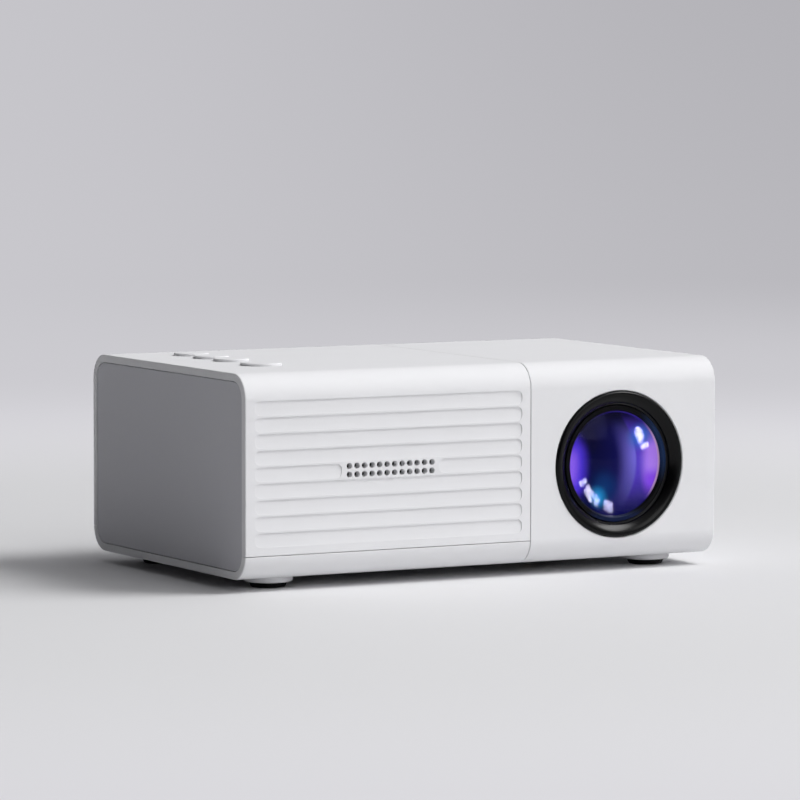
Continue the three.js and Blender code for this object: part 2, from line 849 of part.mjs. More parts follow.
function keySwitch() {
  const half = switchWidth / 2;
  const well = pegZ(plungerRadius + fit, switchFoot + switchFloor, switchTop + overrun, holeSides);
  return block([-half, -half, switchFoot], [half, half, switchTop]).subtract(well);
}

function keyRow() {
  for (const [name, y, radius] of keys) {
    const place = groupAt(keyX, y, 0);
    const plunger = pegZ(plungerRadius, switchTop - plungerDepth, stemFoot - seat, holeSides);
    piece(`${name}_key`, keyCap(radius), looks.shell, place);
    piece(`${name}_plunger`, plunger, looks.innerPlastic, place);
    piece(`${name}_switch`, keySwitch(), looks.steel, place);
  }
  const board = block(
    [keyX - keyBoardMargin, postRows[0] - postRadius, keyBoardTop - keyBoardThickness],
    [keyX + keyBoardMargin, postRows[2] + postRadius, keyBoardTop],
  );
  piece('key_board', board, looks.greenBoard);
}

// L-shaped board: a wide front part and an arm to the port board.
function mainBoard() {
  const foot = floorTop + boardHeight;
  const right = seamX + boardPastSeam;
  const plate = block([boardLeft, boardFront, foot], [right, boardBack, boardTop]);
  const arm = block(
    [boardLeft, boardFront, foot],
    [boardLeft + boardArmWidth, portBoardBack, boardTop],
  );
  const parts = [plate, arm];
  for (let i = 0; i < 3; i += 1) {
    parts.push(pegZ(capacitorRadius, foot + boardThickness / 2, boardTop + capacitorHeight, smallSides)
      .translate([right - chipWidth / 2, boardFront + (i + 1) * capacitorPitch, 0]));
  }
  return wasm.Manifold.union(parts);
}

function chipCooler() {
  const half = chipWidth / 2;
  const parts = [block([-half, -half, 0], [half, half, coolerBase])];
  for (let i = 0; i < coolerFins; i += 1) {
    const x = (i / (coolerFins - 1) - 0.5) * (chipWidth - coolerFinThickness);
    parts.push(block(
      [x - coolerFinThickness / 2, -half, coolerBase / 2],
      [x + coolerFinThickness / 2, half, coolerHeight],
    ));
  }
  return wasm.Manifold.union(parts);
}

// A socket shell, open at the back of the casing, with a contact tongue inside if it has one.
function flatSocket(width, height, rim, tongue) {
  const shell = block(
    [-width / 2, socketBack, -height / 2], [width / 2, socketMouth, height / 2],
  );
  const hollow = block(
    [-width / 2 + rim, socketBack + portBackWall, -height / 2 + rim],
    [width / 2 - rim, socketMouth + overrun, height / 2 - rim],
  );
  const open = shell.subtract(hollow);
  if (!tongue) return open;
  return open.add(block(
    [-width / 2 + rim + tongueMargin, socketBack + portBackWall / 2, -tongueThickness / 2],
    [width / 2 - rim - tongueMargin, socketMouth - portMouthRecess, tongueThickness / 2],
  ));
}

function powerInlet() {
  const body = block(
    [-dcWidth / 2, socketBack, -dcHeight / 2], [dcWidth / 2, socketMouth, dcHeight / 2],
  );
  const bore = pegY(dcBore, socketBack + portBackWall, socketMouth + overrun, smallSides);
  const pin = pegY(
    dcPinRadius, socketBack + portBackWall / 2, socketMouth - portMouthRecess, holeSides,
  );
  return body.subtract(bore).add(pin);
}

function soundJack() {
  const bore = pegY(jackBore, socketBack + portBackWall, socketMouth + overrun, smallSides);
  return pegY(jackRadius, socketBack, socketMouth, smallSides).subtract(bore);
}

function boards() {
  const chipX = leftEnd + padFromEnd + padLength - chipWidth / 2;
  const chipY = boardBack - chipWidth;
  const half = chipWidth / 2;
  const chip = block([-half, -half, 0], [half, half, chipThickness]);
  piece('main_board', mainBoard(), looks.greenBoard);
  piece('main_chip', chip, looks.chip).position.set(chipX, chipY, boardTop + seat);
  piece('chip_cooler', chipCooler(), looks.aluminium)
    .position.set(chipX, chipY, boardTop + chipThickness + 2 * seat);
  const portBoard = block(
    [portX - hdmiWidth / 2, portBoardBack - boardThickness, portBoardFoot],
    [portX + hdmiWidth / 2, portBoardBack, portBoardFoot + portBoardHeight],
  );
  piece('port_board', portBoard, looks.greenBoard);
  piece('hdmi_socket', flatSocket(hdmiWidth, hdmiHeight, portWall, true), looks.steel)
    .position.set(portX, 0, hdmiZ);
  piece('usb_socket', flatSocket(usbWidth, usbHeight, portWall, true), looks.steel)
    .position.set(portX, 0, usbZ);
  piece('card_slot', flatSocket(cardWidth, cardHeight, portWall, false), looks.steel)
    .position.set(portX, 0, cardZ);
  piece('power_inlet', powerInlet(), looks.innerPlastic).position.set(dcX, 0, lowPortZ);
  piece('sound_jack', soundJack(), looks.innerPlastic).position.set(jackX, 0, lowPortZ);
}

// Loudspeaker behind the sound holes, facing the front wall.
function speaker() {
  const place = groupAt(padMiddleX, innerFront + fit, holesZ);
  const rimRadius = speakerRadius - speakerRim;
  const basketBack = speakerFlange + speakerDepth;
  const basket = turnedY([
    [rimRadius, 0], [speakerRadius, 0], [speakerRadius, speakerFlange],
    [rimRadius + speakerWall, speakerFlange], [speakerBackRadius, basketBack],
    [speakerVentRadius, basketBack], [speakerVentRadius, basketBack - speakerWall],
    [speakerBackRadius - speakerWall, basketBack - speakerWall], [rimRadius, speakerFlange],
  ], midSides);
  const magnet = ringY(
    magnetBore, magnetRadius, basketBack + seat, basketBack + seat + magnetHeight, midSides,
  );
  const coneRadius = rimRadius - fit;
  const cone = turnedY([
    [coneInnerRadius, coneDepth], [coneRadius, seat], [coneRadius, seat + coneThickness],
    [coneInnerRadius, coneDepth + coneThickness],
  ], midSides);
  piece('speaker_frame', basket, looks.innerPlastic, place);
  piece('speaker_magnet', magnet, looks.ferrite, place);
  piece('speaker_cone', cone, looks.paper, place);
}

function engineOutline() {
  const mirrorBack = Math.SQRT2 * (mirrorThickness + fit + engineWall);
  const diagonal = lensX + engineRow + mirrorBack;
  const narrowFront = engineRow - condenserHalfWidth;
  const narrowBack = engineRow + condenserHalfWidth;
  return [
    [engineLeft, narrowFront], [narrowRight, narrowFront], [wideLeft, engineFront],
    [wideRight, engineFront], [wideRight, diagonal - wideRight],
    [diagonal - engineBack, engineBack], [wideLeft, engineBack],
    [narrowRight, narrowBack], [engineLeft, narrowBack],
  ].map(([x, y]) => new THREE.Vector2(x, y));
}

// The flat plates across the light path, from the lamp side: name, X, thickness.
const lightPlates = [
  ['rear_fresnel', lcdX - platePitch, plateThickness],
  ['lcd_panel', lcdX, lcdThickness],
  ['front_fresnel', lcdX + platePitch, plateThickness],
];
const plateHalfWidth = engineHalfWidth - engineWall - fit;
const condenserX = engineLeft + condenserFromEnd;

// Ribs that stand either side of each plate along both walls of the light path.
function plateRibs() {
  const ribs = [];
  for (const [, x, thickness] of lightPlates) {
    for (const side of [-1, 1]) {
      const near = x + side * (thickness / 2 + fit);
      const far = near + side * ribWidth;
      for (const wallY of [engineFront, engineBack]) {
        const inward = wallY === engineFront ? 1 : -1;
        const y0 = wallY + inward * engineWall / 2;
        const y1 = wallY + inward * (engineWall + ribReach);
        ribs.push(block(
          [Math.min(near, far), Math.min(y0, y1), engineFoot + engineWall / 2],
          [Math.max(near, far), Math.max(y0, y1), engineTop],
        ));
      }
    }
  }
  return ribs;
}

// Tray of the light path, open on top, with the condenser's partition and the openings.
function opticalHousing() {
  const outline = engineOutline();
  const outer = alongZ(new THREE.Shape(outline), engineFoot, engineTop);
  const inner = alongZ(
    new THREE.Shape(insetOutline(outline, engineWall)), engineFloor, engineTop + overrun,
  );
  const condenserSeat = block(
    [condenserX - condenserRim / 2, engineRow - condenserHalfWidth + engineWall / 2, engineFoot],
    [condenserX + condenserRim / 2, engineRow + condenserHalfWidth - engineWall / 2, engineTop],
  );
  const condenserHole = pegX(
    condenserRadius + fit, condenserX - condenserRim, condenserX + condenserRim, midSides,
  ).translate([0, engineRow, axisZ]);
  const lampHole = pegX(
    lampHoleRadius, engineLeft - overrun, engineLeft + engineWall + overrun, midSides,
  ).translate([0, engineRow, axisZ]);
  const lightHole = pegY(
    lightHoleRadius, engineFront - overrun, engineFront + engineWall + overrun, lensSides,
  ).translate([lensX, 0, axisZ]);
  const ribbonNotch = block(
    [lcdX - ribbonThickness / 2 - fit, engineFront - overrun, axisZ - ribbonWidth / 2 - fit],
    [lcdX + ribbonThickness / 2 + fit, engineFront + engineWall + overrun, engineTop + overrun],
  );
  return wasm.Manifold.union([outer.subtract(inner), condenserSeat, ...plateRibs()])
    .subtract(wasm.Manifold.union([condenserHole, lampHole, lightHole, ribbonNotch]));
}

// A lens with a plain rim, about Y. Each side is [clear radius, bulge] inside its flat land.
function bulgedLens(radius, rim, frontSide, backSide, sides) {
  const bulge = ([clear, height], i) => [
    clear * i / bulgeSteps, height * (1 - (i / bulgeSteps) ** 2),
  ];
  const profile = [];
  for (let i = 0; i <= bulgeSteps; i += 1) {
    const [r, height] = bulge(frontSide, i);
    profile.push([r, -height]);
  }
  profile.push([radius, 0], [radius, rim]);
  for (let i = bulgeSteps; i >= 0; i -= 1) {
    const [r, height] = bulge(backSide, i);
    profile.push([r, rim + height]);
  }
  return turnedY(profile, sides);
}

function opticalEngine() {
  const outline = engineOutline();
  const lid = alongZ(new THREE.Shape(outline), engineTop + seat, engineTop + seat + engineWall);
  piece('optical_housing', opticalHousing(), looks.innerPlastic);
  piece('optical_lid', lid, looks.innerPlastic);
  const plateFoot = engineFloor + seat;
  const plateTop = engineTop - seat;
  for (const [name, x, thickness] of lightPlates) {
    const plate = block(
      [x - thickness / 2, engineRow - plateHalfWidth, plateFoot],
      [x + thickness / 2, engineRow + plateHalfWidth, plateTop],
    );
    piece(name, plate, name === 'lcd_panel' ? looks.glass : looks.clear);
  }
  const mirror = block(
    [0, -mirrorLength / 2, plateFoot], [mirrorThickness, mirrorLength / 2, plateTop],
  );
  const mirrorMesh = piece('fold_mirror', mirror, looks.mirror);
  mirrorMesh.position.set(lensX, engineRow, 0);
  mirrorMesh.rotation.z = Math.PI / 4;
  const clear = condenserRadius - fit;
  const condenser = bulgedLens(
    condenserRadius, condenserRim, [clear, condenserBulge], [clear, seat], midSides,
  );
  const condenserMesh = piece('condenser_lens', condenser, looks.clear);
  condenserMesh.position.set(condenserX + condenserRim / 2, engineRow, axisZ);
  condenserMesh.rotation.z = Math.PI / 2;
  const lampBoard = block(
    [lampBoardBack, engineRow - lampBoardWidth / 2, axisZ - lampBoardHeight / 2],
    [lampBoardBack + lampBoardThickness, engineRow + lampBoardWidth / 2, axisZ + lampBoardHeight / 2],
  );
  const chipBack = lampBoardBack + lampBoardThickness + seat;
  const lampChip = block(
    [chipBack, engineRow - lampChipWidth / 2, axisZ - lampChipWidth / 2],
    [chipBack + lampChipThickness, engineRow + lampChipWidth / 2, axisZ + lampChipWidth / 2],
  );
  piece('led_board', lampBoard, looks.aluminium);
  piece('led_chip', lampChip, looks.lamp);
  piece('lcd_ribbon', lcdRibbon(), looks.ribbon);
  piece('heat_sink', heatSink(), looks.aluminium);
}

// Flat L-shaped ribbon from the panel's edge through the notch and down to the main board.
function lcdRibbon() {
  const nearEnd = engineRow - plateHalfWidth - fit;
  const farEnd = engineFront - ribbonReach;
  const armFoot = axisZ - ribbonWidth / 2;
  const shape = new THREE.Shape([
    [nearEnd, armFoot], [nearEnd, armFoot + ribbonWidth], [farEnd, armFoot + ribbonWidth],
    [farEnd, boardTop + seat], [farEnd + ribbonFall, boardTop + seat],
    [farEnd + ribbonFall, armFoot],
  ].map(([y, z]) => new THREE.Vector2(y, z)));
  return alongX(shape, lcdX - ribbonThickness / 2, lcdX + ribbonThickness / 2, 1);
}

// Base plate behind the lamp, with level fins that reach away from it.
function heatSink() {
  const low = axisZ - sinkHalfHeight;
  const nearFace = sinkFace - sinkBase;
  const parts = [block(
    [nearFace, engineRow - sinkHalfWidth, low],
    [sinkFace, engineRow + sinkHalfWidth, axisZ + sinkHalfHeight],
  )];
  const pitch = (2 * sinkHalfHeight - finThickness) / (finCount - 1);
  for (let i = 0; i < finCount; i += 1) {
    parts.push(block(
      [nearFace - finLength, engineRow - sinkHalfWidth, low + i * pitch],
      [nearFace + sinkBase / 2, engineRow + sinkHalfWidth, low + i * pitch + finThickness],
    ));
  }
  return wasm.Manifold.union(parts);
}

// Fan frame with its duct, struts and bearing tube. Local Y runs from its front to its back.
function fanFrame() {
  const half = fanWidth / 2;
  const plateFront = fanThickness - strutThickness;
  const frame = block([-half, 0, -half], [half, fanThickness, half])
    .subtract(pegY(ductRadius, -overrun, fanThickness + overrun, lensSides));
  const parts = [frame, pegY(hubRadius, plateFront, fanThickness, midSides)];
  for (let i = 0; i < strutCount; i += 1) {
    const strut = block(
      [hubRadius / 2, plateFront, -strutWidth / 2], [ductRadius + fit, fanThickness, strutWidth / 2],
    );
    parts.push(strut.rotate([0, 45 + i * 360 / strutCount, 0]));
  }
  parts.push(pegY(bearingRadius, plateFront - bearingLength, fanThickness - seat, smallSides));
  const shaftHole = pegY(fanShaftRadius + fit, -overrun, fanThickness + overrun, holeSides);
  return wasm.Manifold.union(parts).subtract(shaftHole);
}

// Fan rotor: a cup over the bearing tube, a shaft through it and tilted blades round it.
function fanRotor() {
  const capFront = fit;
  const skirtEnd = fanThickness - strutThickness - fit;
  const shaft = pegY(fanShaftRadius, capFront, fanThickness - fit, holeSides);
  const cup = turnedY([
    [0, capFront], [hubRadius, capFront], [hubRadius, skirtEnd],
    [hubRadius - hubWall, skirtEnd], [hubRadius - hubWall, capFront + hubWall],
    [0, capFront + hubWall],
  ], midSides);
  const middle = (capFront + skirtEnd) / 2;
  const parts = [cup, shaft];
  for (let i = 0; i < bladeCount; i += 1) {
    const blade = block(
      [hubRadius - hubWall / 2, -bladeHeight / 2, -bladeThickness / 2],
      [ductRadius - 2 * fit, bladeHeight / 2, bladeThickness / 2],
    );
    parts.push(blade.rotate([bladeTilt * 180 / Math.PI, 0, 0])
      .translate([0, middle, 0])
      .rotate([0, i * 360 / bladeCount, 0]));
  }
  return wasm.Manifold.union(parts);
}

function fan() {
  const place = groupAt(fanX, fanFront, fanZ);
  piece('fan_frame', fanFrame(), looks.innerPlastic, place);
  piece('fan_rotor', fanRotor(), looks.innerPlastic, place);
}

// Lens sizes along Y, from the casing's front face inwards
const ringFront = -ringProud;
const ringMouth = ringFront + ringDish + ringLand;
const collarFront = wall + fit;
const skirtEnd = collarFront + ringSkirtLength;
const skirtBore = guideRadius + fit;
const barrelBore = barrelRadius - barrelRimWall;
const lensPocketRadius = barrelBore - fit;
const pocketDepth = lensRimThickness + 2 * seat;
const guideFront = ringMouth + fit;
const guideBack = engineFront - front - seat;
const barrelBack = guideBack - barrelBackGap;
const pinY = barrelFrontDepth + pinFromFront;
const pinTip = skirtBore + pinReach;
const focusRate = focusTravel / focusTurn;

// A block that follows the focusing helix inside the ring's skirt.
function helixCut() {
  const steps = smallSides;
  const span = focusTurn + (pinRadius + fit) / skirtBore;
  const halfWidth = pinRadius + fit;
  const positions = [];
  for (let i = 0; i <= steps; i += 1) {
    const angle = (2 * i / steps - 1) * span;
    const y = pinY + focusRate * angle;
    for (const [radius, dy] of [
      [skirtBore - fit, -halfWidth], [skirtBore + grooveDepth, -halfWidth],
      [skirtBore + grooveDepth, halfWidth], [skirtBore - fit, halfWidth],
    ]) {
      positions.push(-radius * Math.sin(angle), y + dy, radius * Math.cos(angle));
    }
  }
  const index = [0, 1, 2, 0, 2, 3];
  for (let i = 0; i < steps; i += 1) {
    for (let side = 0; side < 4; side += 1) {
      const a = 4 * i + side;
      const b = 4 * i + (side + 1) % 4;
      index.push(b, a, a + 4, b, a + 4, b + 4);
    }
  }
  const last = 4 * steps;
  index.push(last, last + 2, last + 1, last, last + 3, last + 2);
  const geometry = new THREE.BufferGeometry();
  geometry.setAttribute('position', new THREE.Float32BufferAttribute(positions, 3));
  geometry.setIndex(index);
  return solidOf(geometry);
}

// Ring that the hand turns: dished face, collar behind the wall and a skirt with its groove.
function focusRing() {
  const collarRadius = ringRadius + ringCollar;
  const ring = turnedY([
    [ringMouthRadius, ringFront + ringDish], [ringRadius - ringChamfer, ringFront],
    [ringRadius, ringFront + ringChamfer], [ringRadius, collarFront],
    [collarRadius, collarFront], [collarRadius, collarFront + ringCollarThickness],
    [ringRadius, collarFront + ringCollarThickness], [ringRadius, skirtEnd],
    [skirtBore, skirtEnd], [skirtBore, ringMouth], [ringMouthRadius, ringMouth],
  ], lensSides);
  return ring.subtract(helixCut());
}

// Fixed tube on the housing, with a straight slot for the barrel's pin and a stop for the ring.
function lensGuide() {
  const bore = guideRadius - guideWall;
  const stopFront = skirtEnd + fit;
  const tube = turnedY([
    [bore, guideFront], [guideRadius, guideFront], [guideRadius, stopFront],
    [guideRadius + guideStop, stopFront], [guideRadius + guideStop, stopFront + guideStopThickness],
    [guideRadius, stopFront + guideStopThickness], [guideRadius, guideBack - guideFlangeThickness],
    [guideFlangeRadius, guideBack - guideFlangeThickness], [guideFlangeRadius, guideBack],
    [bore, guideBack],
  ], lensSides);
  const reach = focusTravel + pinRadius + fit;
  const slot = block(
    [-pinRadius - fit, pinY - reach, bore - overrun],
    [pinRadius + fit, pinY + reach, guideRadius + overrun],
  );
  return tube.subtract(slot);
}

// Sliding barrel with a pocket for a lens at each end and the pin that rides in the helix.
function lensBarrel() {
  const rearPocket = rearLensRadius + fit;
  const barrel = turnedY([
    [barrelBore, barrelFrontDepth], [barrelRadius, barrelFrontDepth], [barrelRadius, barrelBack],
    [rearPocket, barrelBack], [rearPocket, barrelBack - rearSeatDepth],
    [barrelWaistRadius, barrelBack - rearSeatDepth],
    [barrelWaistRadius, barrelFrontDepth + pocketDepth],
    [barrelBore, barrelFrontDepth + pocketDepth],
  ], lensSides);
  const pin = pegZ(pinRadius, barrelRadius - barrelRimWall / 2, pinTip, holeSides);
  return barrel.add(pin.translate([0, pinY, 0]));
}

function focusingLens() {
  const place = groupAt(lensX, front, axisZ);
  piece('lens_guide', lensGuide(), looks.innerPlastic, place);
  piece('focus_ring', focusRing(), looks.blackRing, place);
  piece('lens_barrel', lensBarrel(), looks.innerPlastic, place);
  const frontLens = bulgedLens(
    lensPocketRadius, lensRimThickness, [retainerOpening - fit, frontLensBulge],
    [barrelWaistRadius - fit, frontLensBackBulge], lensSides,
  );
  piece('front_lens', frontLens, looks.glass, place)
    .position.y = barrelFrontDepth + seat;
  const retainer = ringY(
    retainerOpening, barrelRadius, barrelFrontDepth - seat - retainerThickness,
    barrelFrontDepth - seat, lensSides,
  );
  piece('lens_retainer', retainer, looks.blackRing, place);
  const rearSeat = barrelBack - rearSeatDepth + seat;
  const rearLens = bulgedLens(
    rearLensRadius, rearLensRim, [barrelWaistRadius - fit, rearLensBulge],
    [rearLensRadius - rearRingWidth - fit, rearLensBulge], midSides,
  );
  piece('rear_lens', rearLens, looks.clear, place).position.y = rearSeat;
  const rearRing = ringY(
    rearLensRadius - rearRingWidth, rearLensRadius,
    rearSeat + rearLensRim + seat, rearSeat + rearLensRim + seat + rearRingThickness, midSides,
  );
  piece('rear_lens_ring', rearRing, looks.innerPlastic, place);
}

casing();
feetAndFasteners();
keyRow();
boards();
speaker();
opticalEngine();
fan();
focusingLens();

// The focus ring stands proud of the front, so the whole part moves back by half of that.
projector.position.y = ringProud / 2;

export default projector;
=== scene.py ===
# %% [markdown]
# # Mini projector
# A small white projector stands on four feet. This notebook builds its looks around the CAD
# pieces. Each lesson says what a piece is on the real object and how its surface is made here.
# All sizes are in millimetres until a mesh is made; Blender works in metres.

# %% Start: load the CAD frame
import json
import math

import bmesh
import bpy
import numpy as np
from mathutils import Matrix, Vector


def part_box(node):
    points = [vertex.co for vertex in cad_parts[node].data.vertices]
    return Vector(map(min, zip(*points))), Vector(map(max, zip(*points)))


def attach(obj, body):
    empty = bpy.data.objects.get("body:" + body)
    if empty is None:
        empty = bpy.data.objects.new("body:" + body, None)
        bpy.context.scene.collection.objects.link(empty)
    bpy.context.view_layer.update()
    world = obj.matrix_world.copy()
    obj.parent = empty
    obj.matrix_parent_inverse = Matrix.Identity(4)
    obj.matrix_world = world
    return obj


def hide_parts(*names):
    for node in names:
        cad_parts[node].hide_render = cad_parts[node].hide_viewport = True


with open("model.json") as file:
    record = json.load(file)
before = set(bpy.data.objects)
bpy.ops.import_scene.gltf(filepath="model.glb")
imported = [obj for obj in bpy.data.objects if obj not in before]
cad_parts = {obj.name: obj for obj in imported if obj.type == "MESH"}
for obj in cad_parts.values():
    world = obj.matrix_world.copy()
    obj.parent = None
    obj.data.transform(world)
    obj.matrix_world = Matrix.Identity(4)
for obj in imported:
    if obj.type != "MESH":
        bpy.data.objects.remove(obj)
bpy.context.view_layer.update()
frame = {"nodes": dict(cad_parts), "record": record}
MM = 0.001

# %% [markdown]
# ## Sizes from the CAD
# The visual pieces take their places from the CAD nodes' boxes, so both models stay together. A
# box is two corners. Here they become plain millimetre numbers.

# %% Sizes of the casing
SEAM_RISE, EDGE, WALL = 5.65, 6.0, 1.8
GAP, SEAM_RIM, END_RIM = 0.16, 0.14, 0.3


def box_mm(node):
    low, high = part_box(node)
    return np.array(low) / MM, np.array(high) / MM


def place_mm(node):
    """Middle and size of a CAD node's box."""
    low, high = box_mm(node)
    return (low + high) / 2, high - low


COVER_LOW, COVER_HIGH = box_mm("main_cover")
LENS_SIDE_LOW, LENS_SIDE_HIGH = box_mm("lens_side_shell")
LEFT, RIGHT = COVER_LOW[0], LENS_SIDE_HIGH[0]
FRONT, BACK = COVER_LOW[1], COVER_HIGH[1]
TOP, UNDER = COVER_HIGH[2], LENS_SIDE_LOW[2]
SEAM_X = (COVER_HIGH[0] + LENS_SIDE_LOW[0]) / 2
SEAM_Z = UNDER + SEAM_RISE
print("casing from", LEFT, "to", RIGHT, "seams at", SEAM_X, SEAM_Z)

# %% [markdown]
# ## Meshes from arrays
# Every detailed surface below starts as a numpy array of points. A grid of points becomes quads
# by joining each point to its neighbours to the right and above. Faces are then turned to point
# outwards by one bmesh call.

# %% Helpers that turn arrays into meshes
def grid_quads(rows, columns, closed_rows=False, closed_columns=False, start=0):
    """Quads (i, j), (i, j+1), (i+1, j+1), (i+1, j) of a rows x columns grid of points."""
    i = np.arange(rows if closed_rows else rows - 1)[:, None]
    j = np.arange(columns if closed_columns else columns - 1)[None, :]
    i, j = np.broadcast_arrays(i, j)
    up, right = (i + 1) % rows, (j + 1) % columns
    corners = [i * columns + j, i * columns + right, up * columns + right, up * columns + j]
    return np.stack(corners, -1).reshape(-1, 4) + start


def new_mesh(name, points, faces):
    """A mesh in metres from points in millimetres. Doubled points merge and faces turn outwards."""
    mesh = bpy.data.meshes.new(name)
    mesh.from_pydata((np.asarray(points) * MM).tolist(), [], [tuple(f) for f in faces])
    work = bmesh.new()
    work.from_mesh(mesh)
    bmesh.ops.remove_doubles(work, verts=work.verts, dist=1e-7)
    bmesh.ops.dissolve_degenerate(work, edges=work.edges, dist=1e-7)
    bmesh.ops.recalc_face_normals(work, faces=work.faces)
    if work.calc_volume(signed=True) < 0:
        bmesh.ops.reverse_faces(work, faces=work.faces)
    work.to_mesh(mesh)
    work.free()
    return mesh


def new_object(name, mesh):
    obj = bpy.data.objects.new(name, mesh)
    bpy.context.scene.collection.objects.link(obj)
    return obj


def joined(name, meshes):
    """One mesh that holds several closed ones."""
    work = bmesh.new()
    for mesh in meshes:
        work.from_mesh(mesh)
    whole = bpy.data.meshes.new(name)
    work.to_mesh(whole)
    work.free()
    return whole


# %% [markdown]
# ## Outlines and rounded plates
# Moulded parts have small rounded edges, because a mould can't fill or release a knife edge. An
# outline is a ring of points with its outward directions. Stacking it at several depths, each
# grown or shrunk a little, gives a plate with rounded edges. The same stack, flared at one end,
# makes a cutter that leaves a rounded rim round a hole.

# %% Outlines and stacks
def quarter(steps):
    """Angles of a quarter turn, 0 to pi / 2."""
    return np.linspace(0, np.pi / 2, steps + 1)


def directions(angle):
    """Unit vectors (cos t, sin t)."""
    return np.stack([np.cos(angle), np.sin(angle)], 1)


def round_rect(width, height, radius, steps=6):
    """Points and outward normals of a rounded rectangle: centre + radius * (cos t, sin t)."""
    points, normals = [], []
    for k, (sx, sy) in enumerate([(1, 1), (-1, 1), (-1, -1), (1, -1)]):
        normal = directions(quarter(steps) + k * np.pi / 2)
        centre = np.array([sx * (width / 2 - radius), sy * (height / 2 - radius)])
        points.append(centre + radius * normal)
        normals.append(normal)
    return np.concatenate(points), np.concatenate(normals)


def circle(radius, steps=48):
    normal = directions(np.linspace(0, 2 * np.pi, steps, endpoint=False))
    return radius * normal, normal


def stack(name, outline, stations, axes, origin=(0, 0, 0)):
    """A closed body: the outline repeated at each (height, growth) station, capped at both ends.
    point = origin + u * px + v * py + w * height, where p = outline + growth * normal."""
    points, normals = outline
    u, v, w = (np.array(a, float) for a in axes)
    rings = []
    for height, growth in stations:
        flat = points + growth * normals
        rings.append(np.array(origin) + flat[:, :1] * u + flat[:, 1:] * v + height * w)
    count = len(points)
    faces = grid_quads(len(stations), count, closed_columns=True).tolist()
    faces.append(list(range(count)))
    faces.append([(len(stations) - 1) * count + i for i in range(count)])
    return new_mesh(name, np.concatenate(rings), faces)


def slab(name, outline, low, high, radius, axes, origin=(0, 0, 0), steps=3):
    """A body from height low to high, whose two rims are quarter circles of this radius."""
    arc = [(radius * (1 - math.sin(a)), -radius * (1 - math.cos(a))) for a in quarter(steps)]
    stations = [(low + d, g) for d, g in arc[::-1]] + [(high - d, g) for d, g in arc]
    return stack(name, outline, stations, axes, origin)


def hole(outline, surface, depth, radius, axes, origin=(0, 0, 0), steps=3):
    """A cutter that enters at height `surface` and leaves a rounded rim there."""
    flare = [(surface - radius * math.sin(a), radius * (1 - math.sin(a))) for a in quarter(steps)]
    stations = [(surface + 1, radius)] + flare + [(surface - depth, 0)]
    return stack("hole", outline, stations, axes, origin)


ALONG_X = ((0, 1, 0), (0, 0, 1), (1, 0, 0))
ALONG_Y = ((0, 0, 1), (1, 0, 0), (0, 1, 0))
ALONG_Z = ((1, 0, 0), (0, 1, 0), (0, 0, 1))
OUT_OF_FRONT = ((1, 0, 0), (0, 0, 1), (0, -1, 0))
OUT_OF_BELOW = ((1, 0, 0), (0, -1, 0), (0, 0, -1))

# %% [markdown]
# ## Turned pieces
# Lenses, rings, keys and feet are round, so their section is drawn once and turned about an axis.
# A drawn section has sharp corners. `rounded` replaces each corner by a small arc, as a lathe
# tool would.

# %% Turned sections
def rounded(section, radii, steps=4):
    """Replaces corner i of a closed section by an arc of radii[i], tangent to both sides."""
    section = np.array(section, float)
    result = []
    for i, corner in enumerate(section):
        radius = radii[i]
        before = section[i - 1] - corner
        after = section[(i + 1) % len(section)] - corner
        if radius <= 0:
            result.append(corner)
            continue
        a, b = before / np.linalg.norm(before), after / np.linalg.norm(after)
        half = math.acos(np.clip(a @ b, -1, 1)) / 2
        reach = radius / math.tan(half)
        start, end = corner + a * reach, corner + b * reach
        middle = corner + (a + b) / np.linalg.norm(a + b) * radius / math.sin(half)
        s, e = start - middle, end - middle
        span = math.acos(np.clip(s @ e / radius ** 2, -1, 1))
        for k in range(steps + 1):
            t = k / steps
            p = (math.sin((1 - t) * span) * s + math.sin(t * span) * e) / math.sin(span)
            result.append(middle + p)
    return np.array(result)


def turned(name, section, axis="z", centre=(0, 0, 0), sides=96):
    """A body of revolution: section point (r, h) becomes the ring r cos t, r sin t at height h."""
    section = np.asarray(section, float)
    t = np.linspace(0, 2 * np.pi, sides, endpoint=False)
    r, h = section[:, :1], section[:, 1:]
    a, b = r * np.cos(t), r * np.sin(t)
    h = np.broadcast_to(h, a.shape)
    points = {"z": (a, b, h), "y": (b, h, a), "x": (h, a, b)}[axis]
    points = np.stack(points, -1).reshape(-1, 3) + np.array(centre)
    faces = grid_quads(len(section), sides, closed_rows=True, closed_columns=True)
    return new_mesh(name, points, faces)


# %% [markdown]
# ## Cutting and finishing
# Holes are cut with a Boolean modifier, and its result is stored as a plain mesh. The Weighted
# Normal modifier then lets the large flat faces set the shading next to the small rounded ones,
# so flats look flat and only the rims catch light.

# %% Cutting and finishing
def carved(name, body, cutters):
    """body minus the cutters, which are closed meshes that don't touch each other."""
    solid = new_object(name + "_solid", body)
    tool = new_object(name + "_tool", joined(name + "_tool", cutters))
    cut = solid.modifiers.new("cut", "BOOLEAN")
    cut.operation, cut.solver, cut.object = "DIFFERENCE", "EXACT", tool
    graph = bpy.context.evaluated_depsgraph_get()
    result = bpy.data.meshes.new_from_object(solid.evaluated_get(graph))
    for obj in (solid, tool):
        bpy.data.objects.remove(obj)
    result.name = name
    return result


SHARP_ANGLE = math.radians(35)


